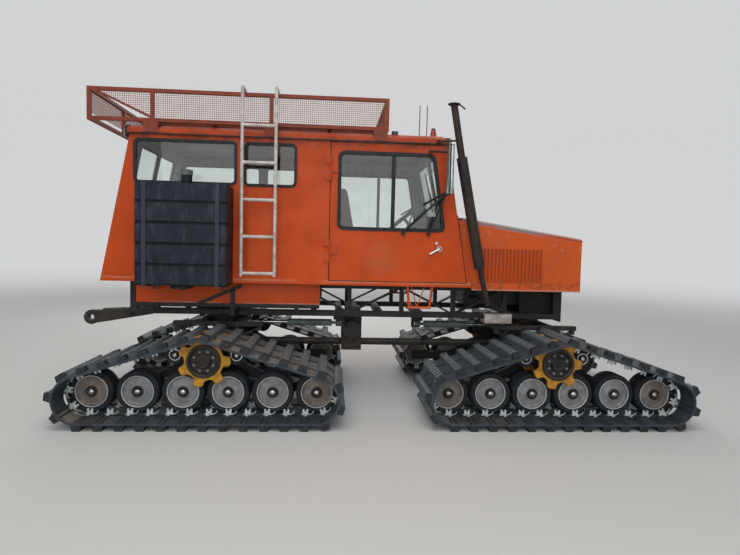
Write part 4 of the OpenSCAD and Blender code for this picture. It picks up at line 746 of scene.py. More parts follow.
# %% Roller faces
ROLLER_X, ROLLER_R, AIR = 0.242, 0.075, 0.0003
ROLLER_Z = SPROCKET_Z + (SEAT_R - AIR - ROLLER_R - ROLLER_X * math.cos(SLOPE)) / math.sin(SLOPE)
TREAD = [(0.046, -0.002), (0.046, 0.004), (0.066, 0.004), (0.0745, -0.003), (0.0752, -0.014), (0.070, -0.014)]
RING = [(0.040, -0.001), (0.040, 0.006), (0.0465, 0.006), (0.0465, -0.001)]
BUTTON = [(0.021, 0.002), (0.021, 0.014), (0.016, 0.020), (0.006, 0.023), (0.0, 0.0232)]
ROLLER_PARTS = [
    ("roller_treads", TREAD, 32, True, tyre_rubber, "tyre"),
    ("roller_rings", RING, 32, True, bright_ring, "bright_steel"),
    ("roller_caps", BUTTON, 20, False, chrome_rod, "bright_steel")]
for axle, x in AXLES.items():
    for label, profile, sides, closed, finish, slot in ROLLER_PARTS:
        bm = turned_at(profile, [(-ROLLER_X, ROLLER_Z), (ROLLER_X, ROLLER_Z)], sides, closed)
        piece(f"{label}_{axle}", moved(bm, (x, 0, 0)), finish, axle + "_axle")

# %% [markdown]
# Drive hubs
# The sprockets are bolted to a drum hub. Eight bolts and a thick rim show on its outer face, round a ringed centre.
# Bolts could be drawn in a bump map, but real shapes catch the light and are part of the mesh.

# %% Drive hub faces
HUB_FACE, BOLT_CIRCLE = 1.033, 0.080
HUB_RIM = [(0.131, 0), (0.131, 0.012), (0.126, 0.016), (0.112, 0.016), (0.108, 0.010), (0.104, 0.0)]
HUB_CENTRE = [(0.050, 0), (0.050, 0.012), (0.046, 0.015), (0.032, 0.015), (0.029, 0.008), (0.029, 0.0)]


def hub_face(bm, side):
    """the rim and the centre ring of a drive hub"""
    for ring in (HUB_RIM, HUB_CENTRE):
        turned_in(bm, [(radius, side * (HUB_FACE - 0.003 + y)) for radius, y in ring], (0, SPROCKET_Z), 48, closed=True)


def hub_bolts(bm, side):
    """eight bolts with their washers"""
    for i in range(8):
        angle = math.tau * (i + 0.5) / 8
        x, z = BOLT_CIRCLE * math.cos(angle), SPROCKET_Z + BOLT_CIRCLE * math.sin(angle)
        rod_in(bm, (x, side * (HUB_FACE - 0.017), z), (x, side * (HUB_FACE - 0.012), z), 0.013, 16)
        rod_in(bm, (x, side * (HUB_FACE - 0.013), z), (x, side * (HUB_FACE - 0.003), z), 0.010, 6)


for axle, x in AXLES.items():
    for label, make, finish, slot in (("faces", hub_face, cast_steel, "dark_steel"),
                                      ("bolts", hub_bolts, bolt_steel, "bright_steel")):
        bm = bmesh.new()
        for side in SIDES.values():
            make(bm, side)
        piece(f"drive_hub_{label}_{axle}", moved(bm, (x, 0, 0)), finish, axle + "_axle", merge=False)

# %% [markdown]
# Rubber round the windows
# Each pane sits in a black rubber seal. A seal is one closed ring: the outline of the opening with its corners rounded, drawn in by the seal's width, then given a thickness. One function makes it flat, and a matrix stands it on its wall, because the end walls lean. A curve with a round section is the usual way, but these seals are flat with a square lip.

# %% Window seals
def put(bm, part, place):
    """moves a finished part by a matrix and adds it to another bmesh"""
    bmesh.ops.transform(part, matrix=place, verts=part.verts)
    pattern = bpy.data.meshes.new("pattern")
    part.to_mesh(pattern)
    part.free()
    bm.from_mesh(pattern)
    bpy.data.meshes.remove(pattern)


def thickened(bm, faces, thick):
    """gives faces in the XZ plane a thickness towards +Y"""
    made = bmesh.ops.extrude_face_region(bm, geom=faces, use_keep_orig=True)["geom"]
    bmesh.ops.translate(bm, vec=(0, thick, 0), verts=[v for v in made if isinstance(v, bmesh.types.BMVert)])
    return bm


def ring_of(corners, radius, width, thick):
    """a rounded ring in the XZ plane, WIDTH inwards from the corners and THICK towards +Y"""
    bm = bmesh.new()
    verts = [bm.verts.new((u, 0, v)) for u, v in corners]
    bm.faces.new(verts)
    bmesh.ops.bevel(bm, geom=bm.verts[:], offset=radius, affect="VERTICES", segments=6, profile=0.5, material=-1)
    bm.faces.ensure_lookup_table()
    middle = bm.faces[0]
    bmesh.ops.inset_region(bm, faces=[middle], thickness=width, use_even_offset=True, use_boundary=True)
    bmesh.ops.delete(bm, geom=[middle], context="FACES_ONLY")
    return thickened(bm, bm.faces[:], thick)


def on_wall(point, outward, up):
    """stands a flat part on a wall: its Y along OUTWARD and its Z along UP"""
    outward, up = Vector(outward).normalized(), Vector(up).normalized()
    return Matrix.Translation(point) @ Matrix((outward.cross(up), outward, up)).transposed().to_4x4()


def rectangle(x0, x1, z0, z1):
    """four corners in order"""
    return [(x0, z0), (x1, z0), (x1, z1), (x0, z1)]


def grown(points, by):
    """pushes four corners away from their middle, by the same step in X and Z"""
    mx, mz = sum(p[0] for p in points) / len(points), sum(p[1] for p in points) / len(points)
    return [(x + math.copysign(by, x - mx), z + math.copysign(by, z - mz)) for x, z in points]


SIDE_WINDOWS = [(-2.050, -1.245, SKIRT - 0.050), (-1.168, -0.757, SKIRT - 0.053)]
left_wall = on_wall((MID, CAB_SIDE, 0), (0, 1, 0), (0, 0, 1))
for hand, side in SIDES.items():
    bm = bmesh.new()
    for x0, x1, top in SIDE_WINDOWS:
        ring = ring_of(grown(rectangle(x0, x1, top - 0.338, top), 0.013), 0.047, 0.024, 0.018)
        put(bm, ring, Matrix.Translation((0, -0.012, 0)))
    bmesh.ops.transform(bm, matrix=left_wall, verts=bm.verts)
    piece(f"side_window_seals_{hand}", mirrored(bm, side), rubber_seal, "chassis")

# %% [markdown]
# The doors' windows
# A door's window leans at its front, so its hole has four corners of its own. Between the hole and the pane lies a flat frame with rounded corners, in the door's enamel. Two loops with the same number of points make that easy, because each face joins a pair of neighbours.

# %% Door window frames and seals
DOOR_LEAN = math.radians(9.7)
DOOR_LOW, DOOR_HIGH = SILL + 0.475, SKIRT - 0.078
PANE_HIGH = DOOR_HIGH - 0.015


def door_front_at(z):
    """where the door's leaning front edge is at a height"""
    return 0.709 - (z - SILL - 0.039) * math.tan(DOOR_LEAN)


def window_corners(rear, inset, low, high):
    """upright at the rear, and INSET behind the door's leaning front edge"""
    return [(rear, low), (door_front_at(low) - inset, low), (door_front_at(high) - inset, high), (rear, high)]


DOOR_HOLE = window_corners(-0.402, 0.088, DOOR_LOW, DOOR_HIGH)
DOOR_PANE = window_corners(-0.394, 0.130, DOOR_LOW, PANE_HIGH)


def rounded_loop(corners, radius, flats=6):
    """the outline of a shape with every corner rounded"""
    found = []
    for i, corner in enumerate(corners):
        p = Vector(corner)
        u, v = ((Vector(corners[j % len(corners)]) - p).normalized() for j in (i - 1, i + 1))
        half = u.angle(v) / 2
        centre = p + (u + v).normalized() * radius / math.sin(half)
        first, last = (p + way * radius / math.tan(half) - centre for way in (u, v))
        turn_by = -first.angle_signed(last)
        found += [centre + Matrix.Rotation(turn_by * k / flats, 2) @ first for k in range(flats + 1)]
    return found


def frame_between(outer, inner, thick):
    """a flat frame in the XZ plane between two loops with the same number of points"""
    bm = bmesh.new()
    rings = [[bm.verts.new((p[0], 0, p[1])) for p in loop] for loop in (outer, inner)]
    for i in range(len(rings[0])):
        j = (i + 1) % len(rings[0])
        bm.faces.new((rings[0][i], rings[0][j], rings[1][j], rings[1][i]))
    return thickened(bm, bm.faces[:], thick)


for hand, side in SIDES.items():
    bm = bmesh.new()
    outer, inner = rounded_loop(grown(DOOR_HOLE, 0.002), 0.048), rounded_loop(DOOR_PANE, 0.046)
    put(bm, frame_between(outer, inner, 0.013), Matrix.Translation((0, -0.0125, 0)))
    bmesh.ops.transform(bm, matrix=left_wall, verts=bm.verts)
    piece(f"door_window_frame_{hand}", mirrored(bm, side), cab_enamel, "door_" + hand)
    bm = bmesh.new()
    put(bm, ring_of(grown(DOOR_PANE, 0.012), 0.058, 0.030, 0.020), Matrix.Translation((0, -0.012, 0)))
    post = bmesh.new()
    box_in(post, (0.044, -0.006, DOOR_LOW), (0.076, 0.004, DOOR_HIGH), 0.002)
    put(bm, post, Matrix.Identity(4))
    bmesh.ops.transform(bm, matrix=left_wall, verts=bm.verts)
    piece(f"door_window_seal_{hand}", mirrored(bm, side), rubber_seal, "door_" + hand)

# %% [markdown]
# Seals on the leaning end walls
# The rear wall has two panes and the front wall a split windscreen. Heights are counted upright from the sill, and a wall that leans is longer than it is high, so they are divided by the cosine of its lean.

# %% Rear window and windscreen seals
def slant_ring(bm, y0, y1, low, high, lean, base, front):
    """a seal on an end wall: heights are over the sill and measured upright"""
    up = (-math.sin(lean), 0, math.cos(lean)) if front else (math.sin(lean), 0, math.cos(lean))
    outward = (math.cos(lean), 0, math.sin(lean)) if front else (-math.cos(lean), 0, math.sin(lean))
    wall = on_wall((MID + base, 0, SILL), outward, up)
    flat = grown(rectangle(y0, y1, low / math.cos(lean), high / math.cos(lean)), 0.013)
    put(bm, ring_of(flat, 0.030, 0.026, 0.018), wall @ Matrix.Translation((0, -0.013, 0)))


bm = bmesh.new()
for y0, y1 in ((-0.500, -0.018), (0.018, 0.500)):
    slant_ring(bm, y0, y1, CAB_H - 0.388, CAB_H - 0.053, REAR_LEAN, CAB_REAR, False)
piece("rear_window_seals", bm, rubber_seal, "chassis")
bm = bmesh.new()
for y0, y1 in ((-0.650, -0.025), (0.025, 0.650)):
    slant_ring(bm, y0, y1, 0.640, CAB_H - 0.043, FRONT_LEAN, CAB_FRONT, True)
piece("windscreen_seals", bm, rubber_seal, "chassis")

# %% [markdown]
# Wire mesh on the roof rack
# The rack is clad in square welded mesh on its sides, ends and floor. Thousands of real wires would be wasteful, but each run can be one long thin box, so a whole panel costs only a few hundred faces. A see-through pattern on a plane would be cheaper still, but it has no thickness and no shadow of its own.

# %% Rack mesh
CELL, WIRE = 0.017, 0.003
RACK_BASE, RACK_TOP, RACK_Y = 2.4113, 2.6463, 0.744
RACK_REAR, RACK_KNEE, RACK_FRONT = MID - 2.413, MID - 1.917, MID - 0.005
REAR_LIFT = 0.045


def wires_in(bm, u0, u1, v0, v1, place, slope=0.0):
    """a panel of wires in the XZ plane; with SLOPE its lower edge falls from the top at U0 to V0 at U1"""
    part = bmesh.new()
    low_at = (lambda u: v1 - (u - u0) * slope) if slope else (lambda u: v0)
    for i in range(1, int((u1 - u0) / CELL)):
        u = u0 + i * CELL
        box_in(part, (u - WIRE / 2, -WIRE, low_at(u)), (u + WIRE / 2, 0, v1))
    for i in range(1, int((v1 - v0) / CELL)):
        v = v0 + i * CELL
        begin = u0 + (v1 - v) / slope if slope else u0
        box_in(part, (begin, 0, v - WIRE / 2), (u1, WIRE, v + WIRE / 2))
    put(bm, part, place)


bm = bmesh.new()
for side in SIDES.values():
    wall = Matrix.Translation((0, side * RACK_Y, 0))
    wires_in(bm, RACK_KNEE, RACK_FRONT, RACK_BASE, RACK_TOP, wall)
    slope = (RACK_TOP - RACK_BASE) / (RACK_KNEE - RACK_REAR - 0.02)
    wires_in(bm, RACK_REAR + 0.02, RACK_KNEE, RACK_BASE, RACK_TOP, wall, slope)
end_turn = Matrix.Rotation(math.pi / 2, 4, "Z")
wires_in(bm, -RACK_Y, RACK_Y, RACK_BASE + REAR_LIFT, RACK_TOP, Matrix.Translation((RACK_REAR, 0, 0)) @ end_turn)
wires_in(bm, -RACK_Y, RACK_Y, RACK_BASE, RACK_TOP, Matrix.Translation((RACK_FRONT, 0, 0)) @ end_turn)
lying = Matrix.Translation((0, 0, RACK_BASE + 0.012)) @ Matrix.Rotation(-math.pi / 2, 4, "X")
wires_in(bm, RACK_KNEE, RACK_FRONT, -RACK_Y, RACK_Y, lying)
piece("rack_mesh", bm, mesh_paint, "chassis", merge=False)

# %% [markdown]
# Small rigid pieces on the cab
# A drip rail runs round the roof's lower edge. The mirror is a flat glass in a thin case, and the door has a bright lever on a round boss, with a small round lock above it. Small bright things draw the eye, so they get broken edges that hold a highlight.

# %% Drip rail, mirror glass and door plates
def front_x(z):
    """where the front wall is at a height, from the wheelbase's middle"""
    return CAB_FRONT - (z - SILL) * math.tan(FRONT_LEAN)


def rear_x(z):
    """where the rear wall is at a height"""
    return CAB_REAR + (z - SILL) * math.tan(REAR_LEAN)


bm = bmesh.new()
for side in SIDES.values():
    y0, y1 = sorted((side * (CAB_SIDE + 0.0165), side * (CAB_SIDE + 0.0225)))
    box_in(bm, (MID + rear_x(SKIRT) - 0.02, y0, SKIRT - 0.007), (MID + front_x(SKIRT) + 0.02, y1, SKIRT + 0.003), 0.0015)
piece("drip_rails", bm, black_plastic, "chassis")

mirror_back = worn("bright mirror shell", "#C3CBD0", "#9AA3A8", 60, (0.25, 0.45), 0.6, 1.0, 0.03)
mirror_glass, tree, shader, place = start("silvered mirror glass")
haze = patches(tree, place, 90, 0.35, 0.7)
tree.links.new(laid(tree, "#C3CDD2", "#9FAAB0", haze), shader.inputs["Base Color"])
roughened(tree, shader, haze, (0.08, 0.3))
shader.inputs["Metallic"].default_value = 0.75
HEAD_X, LEVER_X, LOCK_X = MID + 0.480, MID + 0.465, MID + 0.440
for hand, side in SIDES.items():
    bm = bmesh.new()
    low = (HEAD_X - 0.004, CAB_SIDE + 0.108, SKIRT - 0.435)
    box_in(bm, low, (HEAD_X - 0.0005, CAB_SIDE + 0.252, SKIRT - 0.051), 0.0015)
    piece(f"mirror_glass_{hand}", mirrored(bm, side), mirror_glass, "door_" + hand)
    bm = bmesh.new()
    low = (HEAD_X + 0.0025, CAB_SIDE + 0.0985, SKIRT - 0.4450)
    box_in(bm, low, (HEAD_X + 0.0345, CAB_SIDE + 0.2615, SKIRT - 0.0415), 0.012)
    piece(f"mirror_shell_{hand}", mirrored(bm, side), mirror_back, "door_" + hand)
    bm = bmesh.new()
    pivot = (LEVER_X, CAB_SIDE + 0.024, SILL + 0.325)
    rod_in(bm, (LEVER_X, CAB_SIDE, SILL + 0.325), (LEVER_X, CAB_SIDE + 0.0128, SILL + 0.325), 0.0235, 32)
    rod_in(bm, pivot, (LEVER_X - 0.085, CAB_SIDE + 0.024, SILL + 0.277), 0.0092, 16)
    rod_in(bm, (LOCK_X, CAB_SIDE, SILL + 0.372), (LOCK_X, CAB_SIDE + 0.006, SILL + 0.372), 0.012, 20)
    piece(f"door_plate_{hand}", mirrored(bm, side), chrome_rod, "door_" + hand)

# %% [markdown]
# Wipers, grille mesh and headlamps
# Each half of the windscreen has a wiper: a pivot, an arm and a blade. Behind the nose's bars lies a fine mesh. A headlamp is a bright bezel round a slightly domed lens. The wipers are laid out flat and then set on the leaning windscreen by one matrix, which is easier than to work out slanted points.

# %% Wipers and nose details
bm = bmesh.new()
sine, cosine = math.sin(FRONT_LEAN), math.cos(FRONT_LEAN)
wall = on_wall((MID + CAB_FRONT, 0, SILL), (cosine, 0, sine), (-sine, 0, cosine))
for y in (-0.33, 0.33):
    part = bmesh.new()
    foot, tip = (y + 0.10, 0.008, 0.625), (y - 0.06, 0.026, 0.92)
    rod_in(part, (foot[0], -0.002, foot[2]), (foot[0], 0.026, foot[2]), 0.014, 20)
    rod_in(part, (foot[0], 0.022, foot[2]), tip, 0.005, 8)
    box_in(part, (tip[0] - 0.006, 0.010, tip[2] - 0.20), (tip[0] + 0.006, 0.024, tip[2] + 0.20), 0.003)
    put(bm, part, wall)
piece("wipers", bm, black_plastic, "chassis")

NOSE, LAMP_Y, LAMP_Z = MID + 1.719, 0.560, SILL + 0.235
bm = bmesh.new()
wires_in(bm, -0.40, 0.40, SILL + 0.05, SILL + 0.35, Matrix.Translation((NOSE - 0.024, 0, 0)) @ end_turn)
piece("grille_mesh", bm, frame_paint, "chassis", merge=False)


def turned_x(bm, profile, y, z, sides=48):
    """spins (radius, x) points about a line along X"""
    part = bmesh.new()
    turned_in(part, profile, (0, 0), sides)
    put(bm, part, Matrix.Translation((0, y, z)) @ Matrix.Rotation(-math.pi / 2, 4, "Z"))


BEZEL = [(0.101, -0.002), (0.101, 0.008), (0.096, 0.016), (0.088, 0.016), (0.086, 0.010)]
LENS = [(0.0, 0.0175), (0.03, 0.017), (0.06, 0.0155), (0.086, 0.0125)]
for label, profile, finish, slot in (("bezels", BEZEL, chrome_rod, "bright_steel"),
                                     ("lenses", LENS, lamp_glass, "lamp_white")):
    bm = bmesh.new()
    for y in (-LAMP_Y, LAMP_Y):
        turned_x(bm, [(radius, NOSE + out) for radius, out in profile], y, LAMP_Z)
    piece(f"headlamp_{label}", bm, finish, "chassis")

# %% [markdown]
# Shelves, steps and thin rods
# Flat parts with an outline in the side view are plates: the outline's points, closed by a face and given a width. The shelf and brace under each locker and the ribbed step on the frame are such small forms. They are made on the left and then doubled, mirrored, for the right.

# %% Small forms under the body
def plate_in(bm, outline, y0, y1):
    """a plate with an outline in X and Z, from y0 to y1"""
    face = bm.faces.new([bm.verts.new((MID + x, y0, z)) for x, z in outline])
    thickened(bm, [face], y1 - y0)


def on_both_sides(bm):
    """adds the mirror image of everything in a bmesh"""
    copy = bmesh.ops.duplicate(bm, geom=bm.verts[:] + bm.edges[:] + bm.faces[:])["geom"]
    bmesh.ops.scale(bm, vec=(1, -1, 1), verts=[v for v in copy if isinstance(v, bmesh.types.BMVert)])
    return bm


SHELF = SILL - 0.221
SLANTED = [(-1.672, SHELF), (-1.612, SHELF), (-1.206, SHELF + 0.174), (-1.206, SHELF + 0.200), (-1.228, SHELF + 0.200)]
UPRIGHT = [(-1.302, SHELF - 0.068), (-1.264, SHELF - 0.068), (-1.264, SHELF + 0.158), (-1.302, SHELF + 0.142)]
bm = bmesh.new()
box_in(bm, (MID - 2.085, 0.470, SHELF), (MID - 0.545, 0.608, SHELF + 0.0355), 0.002)
for outline in (SLANTED, UPRIGHT):
    plate_in(bm, outline, 0.6105, 0.622)
box_in(bm, (MID - 1.302, 0.469, SHELF - 0.068), (MID - 1.264, 0.6108, SHELF - 0.040))
for x in (-0.62, -1.30, -1.98):
    box_in(bm, (MID + x, 0.469, SHELF - 0.034), (MID + x + 0.05, 0.520, SHELF + 0.002))
piece("locker_shelves", on_both_sides(bm), frame_paint, "chassis", merge=False)

STEP_REAR, STEP_FRONT = MID + 0.934, MID + 1.186
bm = bmesh.new()
box_in(bm, (STEP_REAR, 0.470, 0.838), (STEP_FRONT, 0.560, 0.8505), 0.002)
box_in(bm, (STEP_REAR, 0.552, 0.768), (STEP_FRONT, 0.558, 0.8500), 0.002)
for i in range(13):
    x = STEP_REAR + 0.004 + i * 0.0195
    box_in(bm, (x, 0.556, 0.770), (x + 0.010, 0.563, 0.846), 0.002)
    box_in(bm, (x, 0.474, 0.850), (x + 0.008, 0.556, 0.856))
piece("front_steps", on_both_sides(bm), ladder_tube, "chassis", merge=False)

HOOP_Y = 0.742
bm = bmesh.new()
for x in (0.240, 0.351):
    foot = (MID + 0.290 + (x - 0.295) * 0.1, HOOP_Y, SILL - 0.165)
    rod_in(bm, (MID + x, HOOP_Y, SILL + 0.002), foot, 0.0045, 10)
rod_in(bm, (MID + 0.290, HOOP_Y, SILL - 0.178), (MID + 0.290, HOOP_Y, SILL - 0.150), 0.008, 12)
piece("step_rods", on_both_sides(bm), cab_enamel, "chassis", merge=False)

# %% [markdown]
# On the tank and the drawbar
# The tank hangs on two brackets under its straps, has a sump below and a filler cap on top. The drawbar carries a row of small teeth. All of these are on the right side only or in the middle, so nothing is mirrored.

# %% Tank fittings and drawbar teeth
bm = bmesh.new()
for strap_x in STRAP_XS:
    x0, x1 = MID + strap_x - 0.037, MID + strap_x + 0.037
    box_in(bm, (x0, -1.082, 1.0815), (x1, -0.750, 1.0892), 0.002)
    box_in(bm, (x0, -0.768, 1.040), (x1, -0.7605, 1.0885), 0.002)
piece("tank_brackets", bm, rack_paint, "chassis", merge=False)

bm = bmesh.new()
for i in range(11):
    x, z = i * 0.0205 - 2.602, 0.769 + i * 0.00113
    plate_in(bm, [(x, z), (x + 0.013, z), (x + 0.004, z + 0.017)], -0.026, 0.026)
piece("drawbar_teeth", bm, frame_paint, "chassis", merge=False)

bm = bmesh.new()
box_in(bm, (MID - 1.692, -1.030, 1.064), (MID - 1.549, -0.830, 1.0955), 0.012)
rod_in(bm, (MID - 1.62, -0.93, 1.050), (MID - 1.62, -0.93, 1.066), 0.014, 12)
piece("tank_sump", bm, tank_paint, "chassis", merge=False)

NECK, NECK_TOP = (MID - 1.596, -0.91915), TANK_FOOT + 0.896
bm = bmesh.new()
rod_in(bm, (*NECK, NECK_TOP - 0.034), (*NECK, NECK_TOP + 0.006), 0.0465, 32)
rod_in(bm, (*NECK, NECK_TOP + 0.004), (*NECK, NECK_TOP + 0.012), 0.030, 24, 0.026)
rod_in(bm, (*NECK, SILL + 0.780), (*NECK, SILL + 0.788), 0.058, 32)
piece("filler_cap", bm, cylinder_paint, "chassis", merge=False)

# %% [markdown]
# Behind the louvres and beside the radiator
# A louvre is a slot, and through it one would see the engine bay's daylight. A thin plate behind each slot closes it. Beside the radiator the bay is closed by fine mesh on a dark plate.

# %% Louvre backs and radiator mesh
bm = bmesh.new()
for i in range(17):
    x = MID + 1.348 - i * 0.033
    box_in(bm, (x, 0.7305, SILL + 0.048), (x + 0.020, 0.7335, SILL + 0.336))
piece("louvre_backs", on_both_sides(bm), hood_enamel, "chassis", merge=False)

RADIATOR = (MID + 1.30, MID + 1.64, 0.852, 1.048)
bm = bmesh.new()
wires_in(bm, *RADIATOR, Matrix.Translation((0, 0.412, 0)))
box_in(bm, (RADIATOR[0], 0.404, RADIATOR[2]), (RADIATOR[1], 0.408, RADIATOR[3]))
piece("radiator_side_mesh", on_both_sides(bm), frame_paint, "chassis", merge=False)

# %% [markdown]
# Beacon, mirror arms and lamp cases
# The beacon is a turned red lens that narrows towards its top, between a black foot and a black cap. Each mirror hangs on two thin arms from the door. The roof's lamps sit in thin cases, and round rims stand proud of the rear ones.

# %% Beacon, arms and cases
BEACON_PLACE = Matrix.Translation((MID + 0.430, -0.500, 2.3763)) @ Matrix.Rotation(math.pi / 2, 4, "X")
BEACON_FOOT = [(0, 0), (0.034, 0), (0.034, 0.010), (0.026, 0.016), (0, 0.016)]
BEACON_CAP = [(0, 0.096), (0.019, 0.096), (0.019, 0.106), (0.012, 0.110), (0, 0.110)]
BEACON_LENS = [(0, 0.012), (0.024, 0.014), (0.0285, 0.034), (0.0285, 0.058), (0.0245, 0.074), (0.0195, 0.098), (0, 0.100)]


def stood_up(profiles, sides):
    """profiles turned about the Y line and stood upright at the beacon's place"""
    part, bm = bmesh.new(), bmesh.new()
    for profile in profiles:
        turned_in(part, profile, (0, 0), sides)
    put(bm, part, BEACON_PLACE)
    return bm


piece("beacon_foot", stood_up([BEACON_FOOT, BEACON_CAP], 32), black_plastic, "chassis")
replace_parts(piece("beacon_lens", stood_up([BEACON_LENS], 40), red_lens, "chassis"), "beacon")

for hand, side in SIDES.items():
    bm = bmesh.new()
    head = (MID + 0.488, side * 0.872, SKIRT - 0.418)
    for x in (0.366, 0.150):
        rod_in(bm, (MID + x, side * 0.773, SILL + 0.452), head, 0.008, 12)
        rod_in(bm, (MID + x, side * 0.766, SILL + 0.446), (MID + x, side * 0.780, SILL + 0.446), 0.016, 16)
    piece(f"mirror_arms_{hand}", bm, black_plastic, f"door_{hand}", merge=False)

bm = bmesh.new()
dome = (MID + 0.070, -0.680)
rod_in(bm, (*dome, 2.3767), (*dome, 2.406), 0.0285, 28)
rod_in(bm, (*dome, 2.406), (*dome, 2.4135), 0.0285, 28, 0.018)
x0 = MID + front_x(SKIRT) + 0.0165
x1 = x0 + 0.040
for side in SIDES.values():
    y0, y1 = sorted((side * 0.557, side * 0.683))
    for z0, z1 in ((0.0655, 0.069), (0.001, 0.0045)):
        box_in(bm, (x0, y0, SKIRT + z0), (x1, y1, SKIRT + z1))
    for y in (y0, y1 - 0.0035):
        box_in(bm, (x0, y, SKIRT + 0.001), (x1, y + 0.0035, SKIRT + 0.069))
piece("lamp_cases", bm, lamp_case, "chassis", merge=False)

bm = bmesh.new()
back = MID + rear_x(SKIRT) - 0.016
for y in (-0.650, 0.650):
    rim = [(0.0505, back - 0.002), (0.054, back - 0.002), (0.054, back - 0.046), (0.0505, back - 0.048)]
    turned_x(bm, rim, y, SKIRT + 0.030, 32)
piece("rear_lamp_rims", bm, black_plastic, "chassis")

# %% [markdown]
# Padded seats
# Each seat is a set of stuffed pads. A pad starts as a box a little smaller than the cushion, gets an even skin of small squares, and is blown up by cloth simulation, with a limit on how far a point may go. Then sewn channels are pressed in and the pad is set in its place. Subdivided boxes would be quicker, but only the swelling gives the tight, slightly uneven look of stuffing.

# %% A stuffed pad
def grown_by_air(thing, limit):
    """swells a pad with air pressure and keeps each point within LIMIT metres of its start"""
    cloth = thing.modifiers.new("air", "CLOTH")
    cloth.settings.use_pressure = True
    cloth.settings.uniform_pressure_force = 4
    cloth.settings.effector_weights.gravity = 0
    for moment in range(1, 21):
        bpy.context.scene.frame_set(moment)
    swollen = bpy.data.meshes.new_from_object(thing.evaluated_get(bpy.context.evaluated_depsgraph_get()))
    thing.modifiers.clear()
    for vert, after in zip(thing.data.vertices, swollen.vertices):
        step = after.co - vert.co
        vert.co += step.normalized() * min(step.length, limit)
    bpy.data.meshes.remove(swollen)
    bpy.context.scene.frame_set(1)


ROOM_TO_SWELL = Vector((0.010, 0.010, 0.010))
CHANNEL_DEPTH, CHANNEL_WIDTH = 0.007, 0.009


def pad(name, size, place, channels=(), limit=0.012, voxel=0.010):
    """a stuffed pad of SIZE, with sewn channels at places across its width"""
    bm = bmesh.new()
    half = Vector(size) / 2 - ROOM_TO_SWELL
    box_in(bm, -half, half, min(half) * 0.55)
    thing = piece(name, bm, seat_cloth, "chassis")
    skin = thing.modifiers.new("skin", "REMESH")
    skin.mode = "VOXEL"
    skin.voxel_size = voxel
    even = bpy.data.meshes.new_from_object(thing.evaluated_get(bpy.context.evaluated_depsgraph_get()))
    thing.modifiers.clear()
    thing.data = even
    grown_by_air(thing, limit)
    normals = [vert.normal.copy() for vert in even.vertices]
    for vert, normal in zip(even.vertices, normals):
        for channel in channels:
            vert.co -= normal * CHANNEL_DEPTH * math.exp(-((vert.co.y - channel) / CHANNEL_WIDTH) ** 2)
    even.transform(place)
    even.shade_smooth()
    thing.modifiers.new("finer", "SUBSURF").levels = 1
    thing.modifiers["finer"].render_levels = 1
    return thing


print("pads can be stuffed")

# %% [markdown]
# The seats in their places
# Two front seats have a cushion, a back and a headrest on two rods, and a bench lies along the rear wall. One pad function makes all eight, so only sizes, places and channels differ.

# %% Front seats and bench
SEAT_Z, SEAT_Y = SILL + 0.2303, 0.380
back_lean = Matrix.Rotation(math.radians(-10.5), 4, "Y")
bench_lean = Matrix.Rotation(math.radians(8), 4, "Y")
NARROW, WIDE = (-0.12, 0.0, 0.12), (-0.33, 0.0, 0.33)


def seat_at(x, y, height):
    """a place over the seats' base"""
    return Matrix.Translation((MID + x, y, SEAT_Z + height))


for hand, y in (("right", -SEAT_Y), ("left", SEAT_Y)):
    cushion = pad(f"seat_cushion_{hand}", (0.46, 0.44, 0.13), seat_at(-0.085, y, 0.068), NARROW)
    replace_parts(cushion, "seats")
    pad(f"seat_back_{hand}", (0.105, 0.44, 0.49), seat_at(-0.335, y, 0.375) @ back_lean, NARROW)
    pad(f"headrest_{hand}", (0.095, 0.25, 0.18), seat_at(-0.425, y, 0.745) @ back_lean, limit=0.009)
pad("bench_cushion", (0.44, 1.32, 0.10), seat_at(-1.955, 0, 0.056), WIDE, voxel=0.012)
pad("bench_back", (0.095, 1.32, 0.42), seat_at(-2.072, 0, 0.325) @ bench_lean, WIDE, voxel=0.012)
bm = bmesh.new()
for y in (-SEAT_Y, SEAT_Y):
    for off in (-0.06, 0.06):
        rod_in(bm, (MID - 0.378, y + off, SEAT_Z + 0.585), (MID - 0.415, y + off, SEAT_Z + 0.700), 0.006, 10)
    box_in(bm, (MID - 0.33, y - 0.20, SEAT_Z - 0.0005), (MID + 0.14, y + 0.20, SEAT_Z + 0.006))
piece("headrest_rods", bm, bolt_steel, "chassis", merge=False)

# %% [markdown]
# The studio
# The floor is a wide plain disc that turns up far away into a dish, and there it glows a little, so that it runs into the pale world without an edge. Floor glow and world look white to the camera, to gloss and through glass, but their light on the object stays plain. Three large soft lamps light it.

# %% Floor, world and lamps
def pale_backdrop(tree, out, dim):
    """a strength that camera, gloss and glass see in full, and that lights the object less"""
    ray = add(tree, "LightPath").outputs
    seen = ray["Is Camera Ray"]
    for kind in ("Is Glossy Ray", "Is Transmission Ray"):
        seen = add(tree, "Math", {0: seen, 1: ray[kind]}, operation="MAXIMUM").outputs[0]
    tree.links.new(add(tree, "MapRange", {0: seen, 3: dim, 4: 1.0}).outputs[0], out)


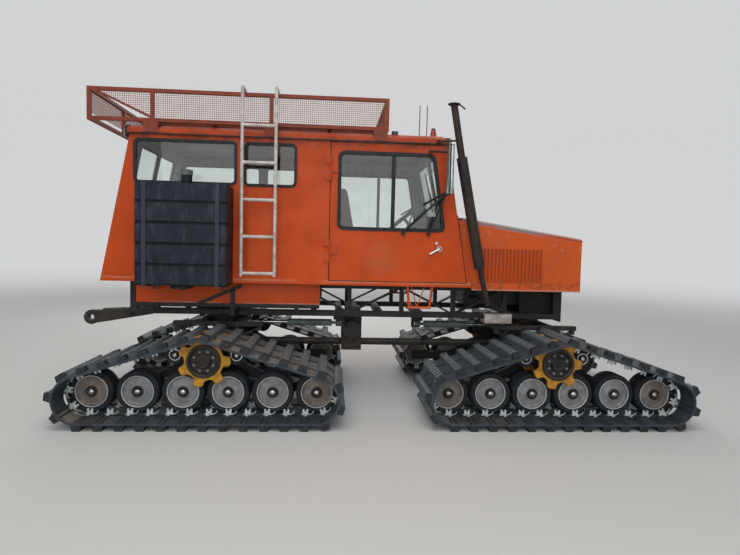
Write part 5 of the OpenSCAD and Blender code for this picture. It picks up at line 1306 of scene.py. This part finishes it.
floor_bm = bmesh.new()
dish = [(0, 0), (16, 0), (24, 0.5), (32, 2.2), (40, 5.5), (47, 11), (52, 19), (55, 30), (56, 45)]
verts = [floor_bm.verts.new((radius, 0, height)) for radius, height in dish]
edges = [floor_bm.edges.new(pair) for pair in zip(verts, verts[1:])]
bmesh.ops.spin(floor_bm, geom=verts + edges, cent=(0, 0, 0), axis=(0, 0, 1), angle=math.tau, steps=64, use_merge=True)
bmesh.ops.remove_doubles(floor_bm, verts=floor_bm.verts, dist=1e-3)
bmesh.ops.recalc_face_normals(floor_bm, faces=floor_bm.faces)
floor_mesh = bpy.data.meshes.new("floor")
floor_bm.to_mesh(floor_mesh)
floor_bm.free()
floor = bpy.data.objects.new("floor", floor_mesh)
bpy.context.scene.collection.objects.link(floor)

GLOW_FROM, GLOW_FULL, GLOW = 5.0, 22.0, 0.46
floor_finish, tree, shader, place = start("pale matt floor")
shader.inputs["Base Color"].default_value = linear("#DEDDDA")
shader.inputs["Roughness"].default_value = 0.9
shader.inputs["Emission Color"].default_value = linear("#E9ECEF")
away = add(tree, "VectorMath", {0: place}, operation="LENGTH").outputs["Value"]
inputs = {0: away, 1: GLOW_FROM, 2: GLOW_FULL, 4: GLOW}
far_glow = add(tree, "MapRange", inputs, interpolation_type="SMOOTHSTEP").outputs[0]
glow = add(tree, "Math", {0: far_glow}, operation="MULTIPLY")
pale_backdrop(tree, glow.inputs[1], 0.45)
tree.links.new(glow.outputs[0], shader.inputs["Emission Strength"])
floor_mesh.materials.append(floor_finish)
floor_mesh.shade_smooth()

world = bpy.data.worlds.new("soft studio")
bpy.context.scene.world = world
world.use_nodes = True
sky = world.node_tree.nodes["Background"]
sky.inputs["Color"].default_value = linear("#EEF0F2")
pale_backdrop(world.node_tree, sky.inputs["Strength"], 0.3)

# each lamp: where it stands, the point it looks at, its size in metres and its power in watts
LAMPS = {
    "overhead lamp": ((-0.5, -4.0, 7.5), (0, 0, 1.2), 6.0, 205),
    "side lamp": ((-1.0, -8.5, 3.6), (0, 0, 1.2), 6.0, 185),
    "back lamp": ((-1.0, 7.0, 5.0), (0, 0, 1.5), 5.0, 190),
}
for name, (location, target, size, power) in LAMPS.items():
    light = bpy.data.objects.new(name, bpy.data.lights.new(name, "AREA"))
    light.data.shape = "SQUARE"
    light.data.size = size
    light.data.energy = power
    light.location = location
    light.visible_transmission = False
    light.rotation_euler = (Vector(target) - Vector(location)).to_track_quat("-Z", "Y").to_euler()
    bpy.context.scene.collection.objects.link(light)
print("studio ready with", len(LAMPS), "lamps")
